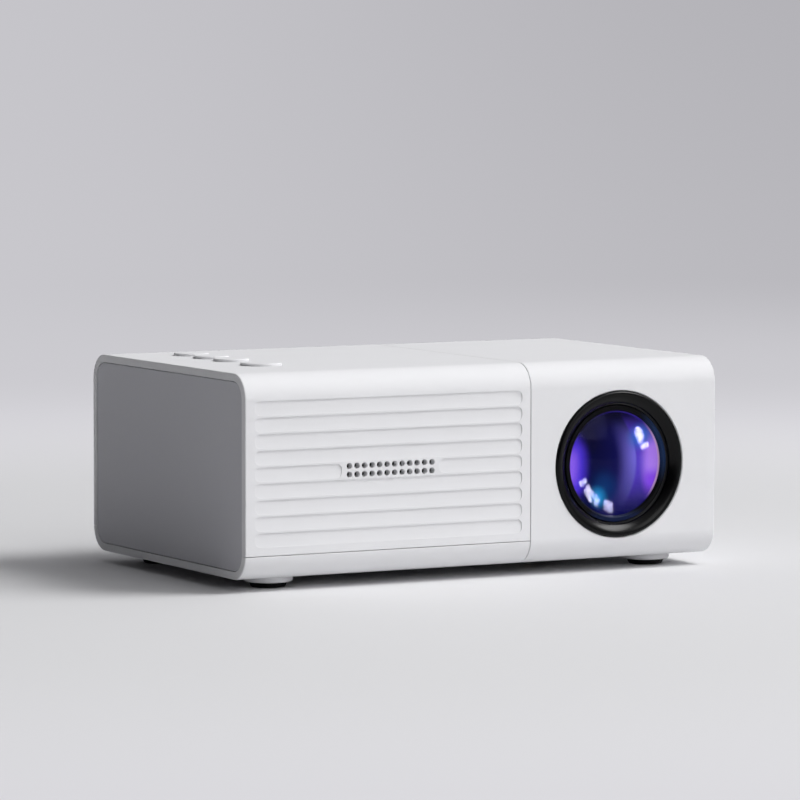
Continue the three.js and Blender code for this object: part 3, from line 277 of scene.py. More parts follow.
def shown(name, mesh, slot, nodes, body="case", material=None):
    """Adds a finished piece that stands for its CAD nodes and rides on their body. Its material
    is its slot's, if no other is given."""
    mesh.name = name
    obj = new_object(name, mesh)
    mesh.materials.clear()
    mesh.materials.append(material or SLOT_MATERIALS[slot])
    mesh.shade_smooth()
    mesh.set_sharp_from_angle(angle=SHARP_ANGLE)
    weights = obj.modifiers.new("flat faces lead", "WEIGHTED_NORMAL")
    weights.keep_sharp = True
    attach(obj, body)
    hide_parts(*nodes)
    print(f"{name}: {len(mesh.vertices)} points, {len(mesh.polygons)} faces")
    return obj


# %% [markdown]
# ## Shader maths that reads like maths
# A material is a graph of nodes. Wiring each one by hand hides the idea behind it. `Wire` holds
# one output socket and gives it Python's operators, so `noise * 0.1 + 0.4` makes the two Math
# nodes and links them. Colours use Mix nodes and vectors use Vector Math nodes.

# %% The Wire class
def operator(operation, reflected=False):
    """The method behind one of Python's operators. Reflected is for a number on the left side."""
    def method(self, other):
        return self._join(operation, *((other, self) if reflected else (self, other)))
    return method


class Wire:
    """One output of a node tree."""

    def __init__(self, tree, socket):
        self.tree, self.socket = tree, socket

    def _join(self, operation, *values):
        kinds = [v.socket.type for v in values if isinstance(v, Wire)]
        if "RGBA" in kinds:
            return self._mix(1.0, *values, operation)
        kind = "ShaderNodeVectorMath" if "VECTOR" in kinds else "ShaderNodeMath"
        node = self.tree.nodes.new(kind)
        node.operation = operation
        for slot, value in zip(node.inputs, values):
            plug(self.tree, slot, value)
        return Wire(self.tree, node.outputs[0])

    def _mix(self, factor, first, second, blend="MIX"):
        node = self.tree.nodes.new("ShaderNodeMix")
        node.data_type, node.blend_type = "RGBA", blend
        plug(self.tree, find(node.inputs, "Factor", "VALUE"), factor)
        plug(self.tree, find(node.inputs, "A", "RGBA"), first)
        plug(self.tree, find(node.inputs, "B", "RGBA"), second)
        return Wire(self.tree, find(node.outputs, "Result", "RGBA"))

    __add__, __radd__ = operator("ADD"), operator("ADD", True)
    __sub__, __rsub__ = operator("SUBTRACT"), operator("SUBTRACT", True)
    __mul__, __rmul__ = operator("MULTIPLY"), operator("MULTIPLY", True)
    __truediv__, __rtruediv__ = operator("DIVIDE"), operator("DIVIDE", True)
    __pow__, __rpow__ = operator("POWER"), operator("POWER", True)

    def ramp(self, low, high, start=0.0, end=1.0):
        """Smooth step of this value from `low` to `high`, given out as start to end."""
        node = self.tree.nodes.new("ShaderNodeMapRange")
        node.interpolation_type = "SMOOTHSTEP"
        for slot, value in zip(node.inputs, (self, low, high, start, end)):
            plug(self.tree, slot, value)
        return Wire(self.tree, node.outputs[0])

    def between(self, first, second):
        """Colour that goes from first to second as this value goes from 0 to 1."""
        return self._mix(self, first, second)


def find(sockets, name, kind):
    return next(s for s in sockets if s.name == name and s.type == kind)


def plug(tree, slot, value):
    """Links a Wire to a socket, or writes a plain number, vector or colour into it."""
    if isinstance(value, Wire):
        tree.links.new(value.socket, slot)
    elif slot.type == "RGBA":
        slot.default_value = (*value, 1.0)[:4]
    elif slot.type == "VECTOR" and isinstance(value, (int, float)):
        slot.default_value = (value, value, value)
    else:
        slot.default_value = value


class Paint:
    """A material in the making: its tree, its shader and the object's coordinates in mm."""

    def __init__(self, name, **values):
        self.material = bpy.data.materials.new(name)
        self.material.use_nodes = True
        self.tree = self.material.node_tree
        self.shader = self.tree.nodes["Principled BSDF"]
        self.place = self.add("ShaderNodeTexCoord", "Object") * 1000.0
        self.set(**values)

    def add(self, kind, output=0, settings=None, **inputs):
        """Adds any node. Spaces in socket names are written as underscores."""
        node = self.tree.nodes.new(kind)
        for key, value in (settings or {}).items():
            setattr(node, key, value)
        for key, value in inputs.items():
            plug(self.tree, node.inputs[key.replace("_", " ")], value)
        return Wire(self.tree, node.outputs[output])

    def set(self, **values):
        for key, value in values.items():
            plug(self.tree, self.shader.inputs[key.replace("_", " ")], value)
        return self

    def noise(self, size, detail=2.0, stretch=(1, 1, 1)):
        """Smooth noise from 0 to 1 whose blotches are about `size` mm wide."""
        where = self.place * tuple(1 / s for s in stretch)
        return self.add("ShaderNodeTexNoise", 0, Vector=where, Scale=1 / size, Detail=detail)

    def bump(self, height, depth, normal=None):
        """Tilts the surface as if height, from 0 to 1, were `depth` mm high."""
        inputs = {"Height": height, "Distance": depth * MM, "Strength": 1.0}
        if normal is not None:
            inputs["Normal"] = normal
        return self.add("ShaderNodeBump", "Normal", **inputs)

    def part(self, axis):
        """One coordinate of the place, in millimetres."""
        return self.add("ShaderNodeSeparateXYZ", "XYZ".index(axis), Vector=self.place)


def linear(r, g, b):
    """Screen colour, 0 to 255, as the linear light that a shader wants."""
    c = np.array([r, g, b], float) / 255
    return tuple(np.where(c <= 0.04045, c / 12.92, ((c + 0.055) / 1.055) ** 2.4))


# %% [markdown]
# ## Plastics
# Moulded plastic is never perfectly even. The mould's spark-eroded face leaves a fine grain, and
# handling leaves slightly smoother and rougher areas. Both are small, but they keep a large pale
# face from looking like paper.

# %% Plastic materials
def plastic(name, colour, roughness, grain=0.12, grain_depth=0.002, cloud=0.03, **more):
    paint = Paint(name, **more)
    fine = paint.noise(grain, 3.0)
    wide = paint.noise(14.0, 2.0)
    tint = (wide - 0.5) * cloud + 1.0
    shade = paint.add("ShaderNodeCombineColor", 0, Red=tint, Green=tint, Blue=tint)
    paint.set(Base_Color=shade * colour)
    paint.set(Roughness=(fine - 0.5) * 0.08 + (wide - 0.5) * 0.08 + roughness)
    paint.set(Normal=paint.bump(fine, grain_depth))
    return paint.material


WHITE = plastic("white shell plastic", (0.80, 0.80, 0.815), 0.65, grain=0.25,
                Specular_IOR_Level=0.15)
PANEL = plastic("grey end panel plastic", (0.555, 0.555, 0.59), 0.6, grain=0.3, grain_depth=0.004)
INNER = plastic("dark inner plastic", (0.022, 0.022, 0.025), 0.5, cloud=0.2)
BLACK = plastic("satin black ring", (0.001, 0.001, 0.0013), 0.24, grain=0.18, cloud=0.2,
                Specular_IOR_Level=0.18)
RUBBER = plastic("foot rubber", (0.004, 0.004, 0.0045), 0.75, grain=0.3, grain_depth=0.01,
                 cloud=0.2, Specular_IOR_Level=0.2)
print("plastics ready")

# %% [markdown]
# ## Metals and boards
# Stamped and extruded metal carries fine lines along the way it was drawn: noise stretched along
# one axis. A circuit board is green lacquer over copper tracks, which show as slightly raised,
# lighter lines.

# %% Metal, board and other inner materials
def metal(name, colour, roughness, stretch=(12, 1, 1), depth=0.003):
    paint = Paint(name, Metallic=1.0)
    lines = paint.noise(0.25, 3.0, stretch)
    wide = paint.noise(6.0)
    paint.set(Base_Color=wide.between(tuple(0.9 * c for c in colour), colour))
    paint.set(Roughness=lines * 0.18 + roughness, Normal=paint.bump(lines, depth))
    return paint.material


def board(name):
    paint = Paint(name, Coat_Weight=0.3)
    tracks = paint.add(
        "ShaderNodeTexBrick", "Fac", Vector=paint.place, Scale=0.55, Mortar_Size=0.035, Bias=0.0,
    )
    dust = paint.noise(3.0)
    green = dust.between((0.012, 0.075, 0.03), (0.02, 0.11, 0.045))
    paint.set(Base_Color=tracks.between(green, (0.035, 0.16, 0.07)))
    paint.set(Roughness=dust * 0.15 + 0.35, Normal=paint.bump(tracks, 0.03))
    return paint.material


def grained(name, dark, light, size, spread, roughness, depth=0.0, detail=2.0, stretch=(1, 1, 1),
            **more):
    """One noise drives the colour from dark to light, the roughness up by `spread`, the bump."""
    paint = Paint(name, **more)
    grain = paint.noise(size, detail, stretch)
    paint.set(Base_Color=grain.between(dark, light))
    paint.set(Roughness=grain * spread + roughness if spread else roughness)
    if depth:
        paint.set(Normal=paint.bump(grain, depth))
    return paint.material


def ribbon(name):
    paint = Paint(name)
    lines = paint.add("ShaderNodeTexWave", "Fac", Vector=paint.place, Scale=0.4, Distortion=0.0,
                      settings={"bands_direction": "Z"})
    tracks = lines.ramp(0.4, 0.6)
    paint.set(Base_Color=tracks.between((0.45, 0.2, 0.03), (0.62, 0.33, 0.08)))
    paint.set(Roughness=tracks * 0.1 + 0.35, Normal=paint.bump(tracks, 0.02))
    return paint.material


STEEL = metal("stamped steel", (0.50, 0.50, 0.52), 0.25)
BRASS = metal("turned brass", (0.62, 0.44, 0.17), 0.25, (1, 1, 0.2))
ALUMINIUM = metal("extruded aluminium", (0.66, 0.67, 0.69), 0.3, (14, 1, 1))
BOARD = board("green board")
RIBBON = ribbon("ribbon film")
CHIP = grained("chip black", (0.012, 0.012, 0.013), (0.02, 0.02, 0.021), 0.2, 0.2, 0.45, 0.006)
PAPER = grained("cone paper", (0.012, 0.011, 0.01), (0.035, 0.032, 0.03), 0.5, 0.0, 0.9, 0.05,
                detail=5.0, stretch=(1, 1, 3))
LAMP = grained("lamp phosphor", (0.8, 0.62, 0.12), (0.9, 0.75, 0.25), 0.3, 0.2, 0.4, 0.01)
MIRROR = grained("mirror coating", (0.86, 0.87, 0.88), (0.9, 0.91, 0.92), 4.0, 0.03, 0.02,
                 Metallic=1.0)
MAGNET = grained("ferrite magnet", (0.03, 0.03, 0.033), (0.06, 0.06, 0.064), 0.25, 0.25, 0.45, 0.02,
                 detail=4.0)
print("metals and boards ready")

# %% [markdown]
# ## Coated glass
# A projector's front lens carries thin coatings. They let most light through and send back a weak
# violet or blue, and which of the two depends on the angle, so the colours lie in soft crescents
# near the rim. Here the lens is two pieces. The domed front face is clear and mirrors only a
# little. The hollow face behind it carries those crescents as painted reflections in smooth zones,
# which also glow faintly, and a clear coat that mirrors the lamps. Light has to pass the front face
# without noise, so it mixes a mirror with a plain see-through shader instead of bending light.

# %% Glass materials
CLEAR_RADIUS = 12.5


def mix_shaders(paint, factor, first, second):
    node = paint.tree.nodes.new("ShaderNodeMixShader")
    plug(paint.tree, node.inputs[0], factor)
    paint.tree.links.new(first.socket, node.inputs[1])
    paint.tree.links.new(second.socket, node.inputs[2])
    return Wire(paint.tree, node.outputs[0])


def finish_with(paint, shader):
    paint.tree.links.new(shader.socket, paint.tree.nodes["Material Output"].inputs["Surface"])
    return paint.material


def front_glass_paint():
    """Mirror share = 0.005 + 0.045 * slant^4, where slant is 0 face on and 1 edge on."""
    paint = Paint("clear front glass", Metallic=1.0)
    haze = paint.noise(3.0)
    paint.set(Base_Color=haze.between((0.46, 0.46, 0.95), (0.5, 0.5, 1.0)))
    paint.set(Roughness=haze * 0.01 + 0.02)
    slant = paint.add("ShaderNodeLayerWeight", "Facing", Blend=0.5)
    clear = paint.add("ShaderNodeBsdfTransparent", 0)
    mirror = Wire(paint.tree, paint.shader.outputs[0])
    return finish_with(paint, mix_shaders(paint, slant ** 4.0 * 0.045 + 0.005, clear, mirror))


FRONT_GLASS = front_glass_paint()
CLEAR = grained("clear glass", (0.93, 0.96, 0.97), (0.97, 0.99, 0.99), 3.0, 0.02, 0.01,
                IOR=1.5, Transmission_Weight=1.0)
print("glass ready")

# %% [markdown]
# The coating's colours here are painted reflections, glows and shade, written as zones of two
# numbers: a goes from -1 at the lens's left edge to 1 at its right edge, and b the same from bottom
# to top. A zone is a product of smooth steps.

# %% Painted reflections of the hollow lens face
LENS_X, _, AXIS_Z = place_mm("front_lens")[0]
LENS_AXIS = (LENS_X, 0, AXIS_Z)


def painted_reflection_colour(paint):
    """Painted reflections and glows on a navy middle that is darker towards the top as painted
    shade: a pale band near the right edge, violet crescents at both sides, teal low left.
    """
    a = (paint.part("X") - LENS_X) / CLEAR_RADIUS
    b = (paint.part("Z") - AXIS_Z) / CLEAR_RADIUS

    def painted_glow_spot(at_a, at_b, radius):
        away = ((a - at_a) * (a - at_a) + (b - at_b) * (b - at_b)) ** 0.5
        return away.ramp(radius, 0.0)

    edge = (a * a + b * b) ** 0.5
    bowed = a + b * b * 0.5
    painted_reflection_zones = [
        # painted reflections: haze of the middle, pale band, violet beyond it, bright crescent,
        # purple under it
        (bowed.ramp(-0.35, 0.30) * b.ramp(0.95, 0.5), (0.003, 0.003, 0.052)),
        (bowed.ramp(0.13, 0.62) * bowed.ramp(0.61, 0.555) * b.ramp(-1.0, 0.15) * b.ramp(0.9, 0.1),
         (0.150, 0.125, 0.58)),
        (bowed.ramp(0.54, 0.60) * b.ramp(-0.95, 0.0) * b.ramp(0.98, 0.4), (0.085, 0.045, 0.48)),
        (a.ramp(0.60, 0.84) * b.ramp(-0.55, -0.12) * b.ramp(0.66, 0.25), (0.36, 0.18, 0.76)),
        (a.ramp(0.62, 0.84) * b.ramp(-0.75, -0.35) * b.ramp(-0.05, -0.35), (0.20, 0.055, 0.68)),
        # painted reflection: left crescent and its paler edge
        (bowed.ramp(-0.38, -0.72) * b.ramp(-0.78, -0.40) * (b + a * 0.5).ramp(0.30, -0.10),
         (0.045, 0.020, 0.44)),
        (bowed.ramp(-0.62, -0.92) * b.ramp(-0.55, -0.2) * b.ramp(0.46, 0.1), (0.17, 0.075, 0.58)),
        # painted glows round the lamps' reflections: teal low left, blue at the upper right;
        # painted highlight: warm line round the glass's edge
        (painted_glow_spot(-0.12, -0.45, 0.42) * 0.6, (0.003, 0.035, 0.14)),
        (painted_glow_spot(-0.30, -0.64, 0.27), (0.012, 0.19, 0.44)),
        (painted_glow_spot(0.62, 0.48, 0.34), (0.03, 0.13, 0.48)),
        (edge.ramp(0.970, 0.988) * b.ramp(-0.75, -0.45),
         (a * a).ramp(0.35, 0.85).between((0.03, 0.015, 0.26), (0.50, 0.31, 0.56))),
    ]
    # navy base, darker towards the top: painted shade
    colour = b.ramp(-0.3, 0.7).between((0.001, 0.002, 0.032), (0.0005, 0.0002, 0.010))
    for zone, painted_zone_colour in painted_reflection_zones:
        colour = zone.between(colour, painted_zone_colour)
    return colour


def painted_reflection_paint():
    paint = Paint("lens coating with painted reflections", IOR=1.5, Specular_IOR_Level=0.06, Metallic=0.0)
    # The painted reflections go into the emission too, so the lens glows faintly though it is no
    # lamp.
    paint.set(Specular_Tint=(0.55, 0.55, 1.0), Emission_Strength=0.4)
    colour = painted_reflection_colour(paint)
    haze = paint.noise(4.0)
    paint.set(Base_Color=colour, Emission_Color=colour, Roughness=haze * 0.01 + 0.02)
    return paint.material


PAINTED_LENS_REFLECTIONS = painted_reflection_paint()
print("coating ready, lens axis at x", round(LENS_X, 2), "z", round(AXIS_Z, 2))

# %% [markdown]
# ## Slots
# A slot is the name of a finish, and the CAD record gives one to each piece. With one material for
# each slot, a piece made here and a CAD piece of the same stuff look alike.

# %% Materials of the slots
SLOT_MATERIALS = {
    "shell": WHITE, "end_panel": PANEL, "inner_plastic": INNER, "black_ring": BLACK,
    "foot_rubber": RUBBER, "steel": STEEL, "insert_brass": BRASS, "aluminium": ALUMINIUM,
    "board": BOARD, "chip_black": CHIP, "magnet": MAGNET, "cone_paper": PAPER,
    "lens_glass": FRONT_GLASS, "clear_glass": CLEAR, "mirror": MIRROR, "lamp": LAMP,
    "ribbon": RIBBON,
}
print("slots with a material:", len(SLOT_MATERIALS))

# %% [markdown]
# ## Skins: curved walls from two grids
# The casing is one rounded section run along X. Each shell is a skin on it: an outer grid of
# points, an inner grid one wall deeper, and strips that join their borders. Every point has a
# place along X, a place along the section and a depth below the surface, so rounded rims and
# flutes are only changes of depth.

# %% The casing's section and skins
def section_path(pieces):
    """One path along the casing's section, from pieces of (points, inward directions)."""
    places = [points for points, _ in pieces]
    inward = [np.broadcast_to(direction, points.shape) for points, direction in pieces]
    return np.concatenate(places), np.concatenate(inward)


def corner(centre_y, centre_z, start, steps=24):
    """Quarter circle of the section from angle `start`, without its two end points."""
    out = directions(start + quarter(steps)[1:-1])
    return np.array([centre_y, centre_z]) + EDGE * out, -out


def rim(start, end, radius, steps=4):
    """Places and depths of a quarter-round rim at `start`, towards `end`:
    place = start + r (1 - cos t), depth = r (1 - sin t)."""
    t = quarter(steps)
    way = np.sign(end - start)
    return start + way * radius * (1 - np.cos(t)), radius * (1 - np.sin(t))


def skin(name, xs, x_depth, places, inward, s_depth, depth=None, closed=False, wall=WALL):
    """A wall on the section. point = place + inward * (x rim + section rim + depth(x, place))."""
    rows, columns = len(places), len(xs)
    sunk = s_depth[:, None] + x_depth[None, :]
    if depth is not None:
        sunk = sunk + depth
    grids = []
    for depths in (sunk, np.full((rows, columns), wall)):
        yz = places[:, None, :] + inward[:, None, :] * depths[:, :, None]
        x = np.broadcast_to(xs[None, :], (rows, columns))
        grids.append(np.concatenate([x[:, :, None], yz], 2).reshape(-1, 3))
    count = rows * columns
    faces = [grid_quads(rows, columns, closed), grid_quads(rows, columns, closed, start=count)]
    index = np.arange(count).reshape(rows, columns)
    borders = [(index[:, 0], closed), (index[:, -1], closed)]
    if not closed:
        borders += [(index[0], False), (index[-1], False)]
    for border, loop in borders:
        nearby = np.roll(border, -1) if loop else border[1:]
        border = border if loop else border[:-1]
        faces.append(np.stack([border, nearby, nearby + count, border + count], 1))
    return new_mesh(name, np.concatenate(grids), np.concatenate(faces))


# %% [markdown]
# ## Main cover
# The main cover is the top, front and back of the keyed side in one moulding, open beneath. Its
# wall could be a Solidify modifier on a sheet. A skin of two grids is used instead, because its
# rims at the seams are then rounded in the same step.

# %% Main cover: the skin
def arch_path(start, rim_z=(), rim_depth=(), side_rows=6, top_rows=9):
    """The section from the front's foot over the top to the back's foot, and its rim depths."""
    shoulder = TOP - EDGE
    side = np.concatenate([rim_z, np.linspace(start, shoulder, side_rows)])
    top = np.linspace(FRONT + EDGE, BACK - EDGE, top_rows)
    front_curve, front_in = corner(FRONT + EDGE, shoulder, np.pi / 2)
    back_curve, back_in = corner(BACK - EDGE, shoulder, 0)
    places, inward = section_path([
        (np.stack([np.full(len(side), FRONT), side], 1), (1, 0)),
        (front_curve[::-1], front_in[::-1]),
        (np.stack([top, np.full(len(top), TOP)], 1), (0, -1)),
        (back_curve[::-1], back_in[::-1]),
        (np.stack([np.full(len(side), BACK), side[::-1]], 1), (-1, 0)),
    ])
    flat = np.zeros(len(places) - 2 * len(rim_z))
    return places, inward, np.concatenate([rim_depth, flat, rim_depth[::-1]])


def long_rows(start, start_rim, end, end_rim, steps=8):
    """X places and rim depths of a shell from start to end."""
    start_x, start_depth = rim(start, end, start_rim)
    end_x, end_depth = rim(end, start, end_rim)
    middle = np.linspace(start_x[-1], end_x[-1], steps)[1:-1]
    xs = np.concatenate([start_x, middle, end_x[::-1]])
    return xs, np.concatenate([start_depth, np.zeros(len(middle)), end_depth[::-1]])


def main_cover_mesh():
    rim_z, rim_depth = rim(SEAM_Z + GAP / 2, TOP, SEAM_RIM)
    places, inward, s_depth = arch_path(rim_z[-1] + 0.1, rim_z, rim_depth)
    xs, x_depth = long_rows(LEFT, END_RIM, SEAM_X - GAP / 2, SEAM_RIM)
    return skin("main_cover", xs, x_depth, places, inward, s_depth)


cover = main_cover_mesh()
print("main cover skin:", len(cover.vertices), "points")

# %% [markdown]
# ## The flutes of the front
# Nine level flutes run across the front of the keyed side. Each starts deep under a crisp upper
# edge and its floor curves out until it almost meets the surface at its lower edge, like a
# louvre. Light comes from above, so the floor grows lighter downwards as it turns up to the
# light, and no line shows below. The middle flute stops either side of a flush pad for the sound
# holes. A displacement of the skin would need thousands of rows to keep the upper edge crisp. A
# cutter with a curved floor gives the same shape with a few faces.

# %% Main cover: the flute cutters
FLUTE_COUNT, FLUTE_PITCH, FLUTE_HEIGHT, FLUTE_CORNER = 9, 3.79, 3.25, 1.3
FLUTE_DEEP, FLUTE_SHALLOW, FLUTE_LIP = 0.24, 0.03, 0.02
FLUTE_TOP = TOP - 6.2
FLUTE_LEFT, FLUTE_RIGHT = LEFT + 2.55, LEFT + 72.95
PAD_LEFT, PAD_WIDTH = LEFT + 24.95, 25.8
PAD_RIGHT = PAD_LEFT + PAD_WIDTH


def flute_spans():
    """(left, right, middle height) of each flute. The pad's flute comes as two."""
    spans = []
    for i in range(FLUTE_COUNT):
        z = FLUTE_TOP - i * FLUTE_PITCH - FLUTE_HEIGHT / 2
        ends = [(FLUTE_LEFT, FLUTE_RIGHT)]
        if i == FLUTE_COUNT // 2:
            ends = [(FLUTE_LEFT, PAD_LEFT), (PAD_RIGHT, FLUTE_RIGHT)]
        spans += [(left, right, z) for left, right in ends]
    return spans


def flute_cutter(left, right, z):
    """Rings of the flute's outline. Lip: growth r (1 - sin t) at depth r sin t. Floor: going down
    from the upper edge by a share s of the height, depth = deep - (deep - shallow) s^2."""
    points, normals = round_rect(right - left, FLUTE_HEIGHT, FLUTE_CORNER, 10)
    share = 0.5 - points[:, 1] / FLUTE_HEIGHT
    floor = FLUTE_DEEP - (FLUTE_DEEP - FLUTE_SHALLOW) * share ** 2
    lip = [(FLUTE_LIP * math.sin(a), FLUTE_LIP * (1 - math.sin(a))) for a in quarter(3)]
    rings = [(-1.0, FLUTE_LIP)] + lip + [(floor, 0.0)]
    grid = []
    for depth, growth in rings:
        flat = points + growth * normals
        y = FRONT + np.broadcast_to(depth, len(flat))
        grid.append(np.stack([flat[:, 0] + (left + right) / 2, y, flat[:, 1] + z], 1))
    count, side = len(points), len(points) // 4
    faces = grid_quads(len(rings), count, closed_columns=True).tolist()
    faces.append(list(range(count)))
    # The floor is a ladder of level rungs: a point of the right half meets its mirror on the left.
    k = np.arange(side - 1)
    upper = np.stack([k, k + 1, 2 * side - 2 - k, 2 * side - 1 - k], 1)
    middle = [[0, 2 * side - 1, 2 * side, 4 * side - 1]]
    ladder = np.concatenate([upper, upper + 2 * side, middle]) + (len(rings) - 1) * count
    return new_mesh("flute", np.concatenate(grid), faces + ladder.tolist())


def flute_cutters():
    return [flute_cutter(*span) for span in flute_spans()]


print("flutes:", len(flute_spans()), "from x", round(FLUTE_LEFT, 2), "to", round(FLUTE_RIGHT, 2))

# %% [markdown]
# ## Holes of the main cover
# The sound holes go straight through the pad, 12 by 2. The keys stand in round holes in the top.
# The back has a row of upright air slots behind the fan and one opening for each socket. Each
# cutter is a stack that flares where it meets the surface, so every hole gets a rounded rim.

# %% Main cover: the hole cutters
HOLE_RADIUS, HOLE_PITCH, HOLE_COLUMNS, HOLE_ROWS = 0.7, 1.98, 12, 2
PAD_MIDDLE = (PAD_LEFT + PAD_RIGHT) / 2
HOLES_Z = FLUTE_TOP - (FLUTE_COUNT // 2) * FLUTE_PITCH - FLUTE_HEIGHT / 2
KEY_NAMES = ("power", "source", "volume_down", "volume_up")
KEY_GAP, KEY_FLANGE = 0.12, 0.95
SLOT_PITCH, SLOT_WIDTH, SLOT_CORNER = 4.0, 2.0, 0.98


def key_place(name):
    """Middle, visible radius and crown height of a key. Its CAD box holds the wider flange."""
    middle, size = place_mm(name + "_key")
    return middle, size[0] / 2 - KEY_FLANGE, middle[2] + size[2] / 2


def centred(count, pitch):
    """Places of a row about 0: (i - (count - 1) / 2) * pitch."""
    return (np.arange(count) - (count - 1) / 2) * pitch


def sound_hole_cutters():
    return [hole(circle(HOLE_RADIUS, 32), -FRONT, WALL + 1, 0.06, OUT_OF_FRONT,
                 (PAD_MIDDLE + across, 0, HOLES_Z + up))
            for across in centred(HOLE_COLUMNS, HOLE_PITCH)
            for up in centred(HOLE_ROWS, HOLE_PITCH)]


def key_hole_cutters():
    return [hole(circle(radius + KEY_GAP, 96), TOP, WALL + 1, 0.12, ALONG_Z, (*middle[:2], 0))
            for middle, radius, _ in map(key_place, KEY_NAMES)]


def back_cutter(x, z, width, height, radius, lip=0.15):
    return hole(round_rect(height, width, radius, 8), BACK, WALL + 1, lip, ALONG_Y, (x, 0, z))


def back_slot_cutters():
    middle, _ = place_mm("fan_frame")
    return [back_cutter(x, middle[2], SLOT_WIDTH, 26.0, SLOT_CORNER)
            for x in middle[0] + centred(9, SLOT_PITCH)]


def port_cutters():
    cutters = []
    for node in ("hdmi_socket", "usb_socket", "card_slot", "power_inlet", "sound_jack"):
        middle, size = place_mm(node)
        radius = size[2] / 2 + 0.14 if node == "sound_jack" else 0.5
        cutters.append(
            back_cutter(middle[0], middle[2], size[0] + 0.3, size[2] + 0.3, radius, 0.12))
    return cutters


cutters = (flute_cutters() + sound_hole_cutters() + key_hole_cutters() + back_slot_cutters()
           + port_cutters())
cover = carved("main_cover", cover, cutters)
print("main cover after", len(cutters), "cuts:", len(cover.polygons), "faces")

# %% [markdown]
# ## Joint strips
# A seam between two shells isn't an open slot. One shell carries a thin tongue that runs behind
# the joint, so no light passes. Here each tongue is a strip of wall just inside the seam.

# %% Main cover: tongues behind its seams
def tongue_along_section(x0, x1, foot, outer, inner):
    """A thin strip behind the upright seam, from one lower seam round to the other."""
    places, inward, none = arch_path(foot, side_rows=2, top_rows=2)
    return skin("tongue", np.array([x0, x1]), np.zeros(2), places, inward, none + outer, wall=inner)


def block(name, low, high, radius=0.1):
    """A box with rounded rims round its top and bottom faces."""
    low, high = np.array(low, float), np.array(high, float)
    size = high - low
    outline = round_rect(size[0], size[1], radius + 0.05, 2)
    x, y, _ = (low + high) / 2
    return slab(name, outline, low[2], high[2], radius, ALONG_Z, (x, y, 0), 2)


cover_parts = [cover, tongue_along_section(
    SEAM_X - 1.6, SEAM_X + 1.3, SEAM_Z + 1.2, WALL - 0.02, WALL + 0.5)]
for y in (FRONT + WALL + 0.26, BACK - WALL - 0.26):
    cover_parts.append(block(
        "tongue", (LEFT + 4.0, y - 0.25, SEAM_Z - 1.4), (SEAM_X - 1.7, y + 0.25, SEAM_Z + 1.6)))
shown("main_cover_skin", joined("main_cover", cover_parts), "shell", ["main_cover"])

# %% [markdown]
# ## Lens side shell
# The lens side is one piece all the way round: top, front, back and the bottom's edges. Only a
# plate closes it from beneath. Its section is therefore a closed loop, and the plate's opening
# and the round mouth for the focus ring are cut out of it.

# %% Lens side shell
RING_LOW, RING_HIGH = box_mm("focus_ring")
RING_RADIUS = (RING_HIGH[2] - RING_LOW[2]) / 2 - 0.7
PLATE_HALF = (BACK - FRONT) / 2 - 6.1
PLATE_RIGHT = RIGHT - 5.35
PLATE_CORNER, RING_GAP = 1.0, 0.14
MIDDLE_Y = (FRONT + BACK) / 2


def full_loop(steps=24, rows=7):
    """The whole section: four rounded corners and the straights between them."""
    corners = [(BACK - EDGE, TOP - EDGE), (FRONT + EDGE, TOP - EDGE),
               (FRONT + EDGE, UNDER + EDGE), (BACK - EDGE, UNDER + EDGE)]
    share = np.linspace(0, 1, rows)[1:-1, None]
    pieces = []
    for k, centre in enumerate(corners):
        out = directions(k * np.pi / 2 + quarter(steps))
        curve = np.array(centre) + EDGE * out
        nearby = np.array(corners[(k + 1) % 4]) + EDGE * out[-1]
        straight = curve[-1] + (nearby - curve[-1]) * share
        pieces += [(curve, -out), (straight, -out[-1])]
    return section_path(pieces)


def lens_side_mesh():
    xs, depth = long_rows(SEAM_X + GAP / 2, SEAM_RIM, RIGHT, END_RIM)
    places, inward = full_loop()
    loop = skin("lens_side", xs, depth, places, inward, np.zeros(len(places)), closed=True)
    mouth = hole(circle(RING_RADIUS + RING_GAP, 128), -FRONT, WALL + 1, 0.2, OUT_OF_FRONT,
                 LENS_AXIS)
    x0, x1 = SEAM_X - 2, PLATE_RIGHT + GAP
    outline = round_rect(x1 - x0, 2 * PLATE_HALF + 2 * GAP, PLATE_CORNER)
    stations = [(-UNDER - WALL - 1, 0), (-UNDER, 0), (-UNDER + 1, 0)]
    opening = stack("opening", outline, stations, OUT_OF_BELOW, ((x0 + x1) / 2, MIDDLE_Y, 0))
    return carved("lens_side", loop, [mouth, opening])


shown("lens_side_skin", lens_side_mesh(), "shell", ["lens_side_shell"])

# %% [markdown]
# ## Bottom shell
# The bottom shell is a tray under the keyed side and a flat plate under the lens side. It carries
# the foot bosses, screw holes, air slots and the brass tripod insert's seat.

# %% Bottom shell
CORNERS = ("front_left", "front_right", "rear_left", "rear_right")
FEET = [place_mm("foot_pad_" + c)[0] for c in CORNERS]
SCREWS = [place_mm("case_screw_" + c)[0] for c in CORNERS]
BOSS_RADIUS, BOSS_BORE, BOSS_FOOT = 5.7, 4.75, 1.3
INSERT_BORE, COLLAR_RADIUS = 4.7, 6.6


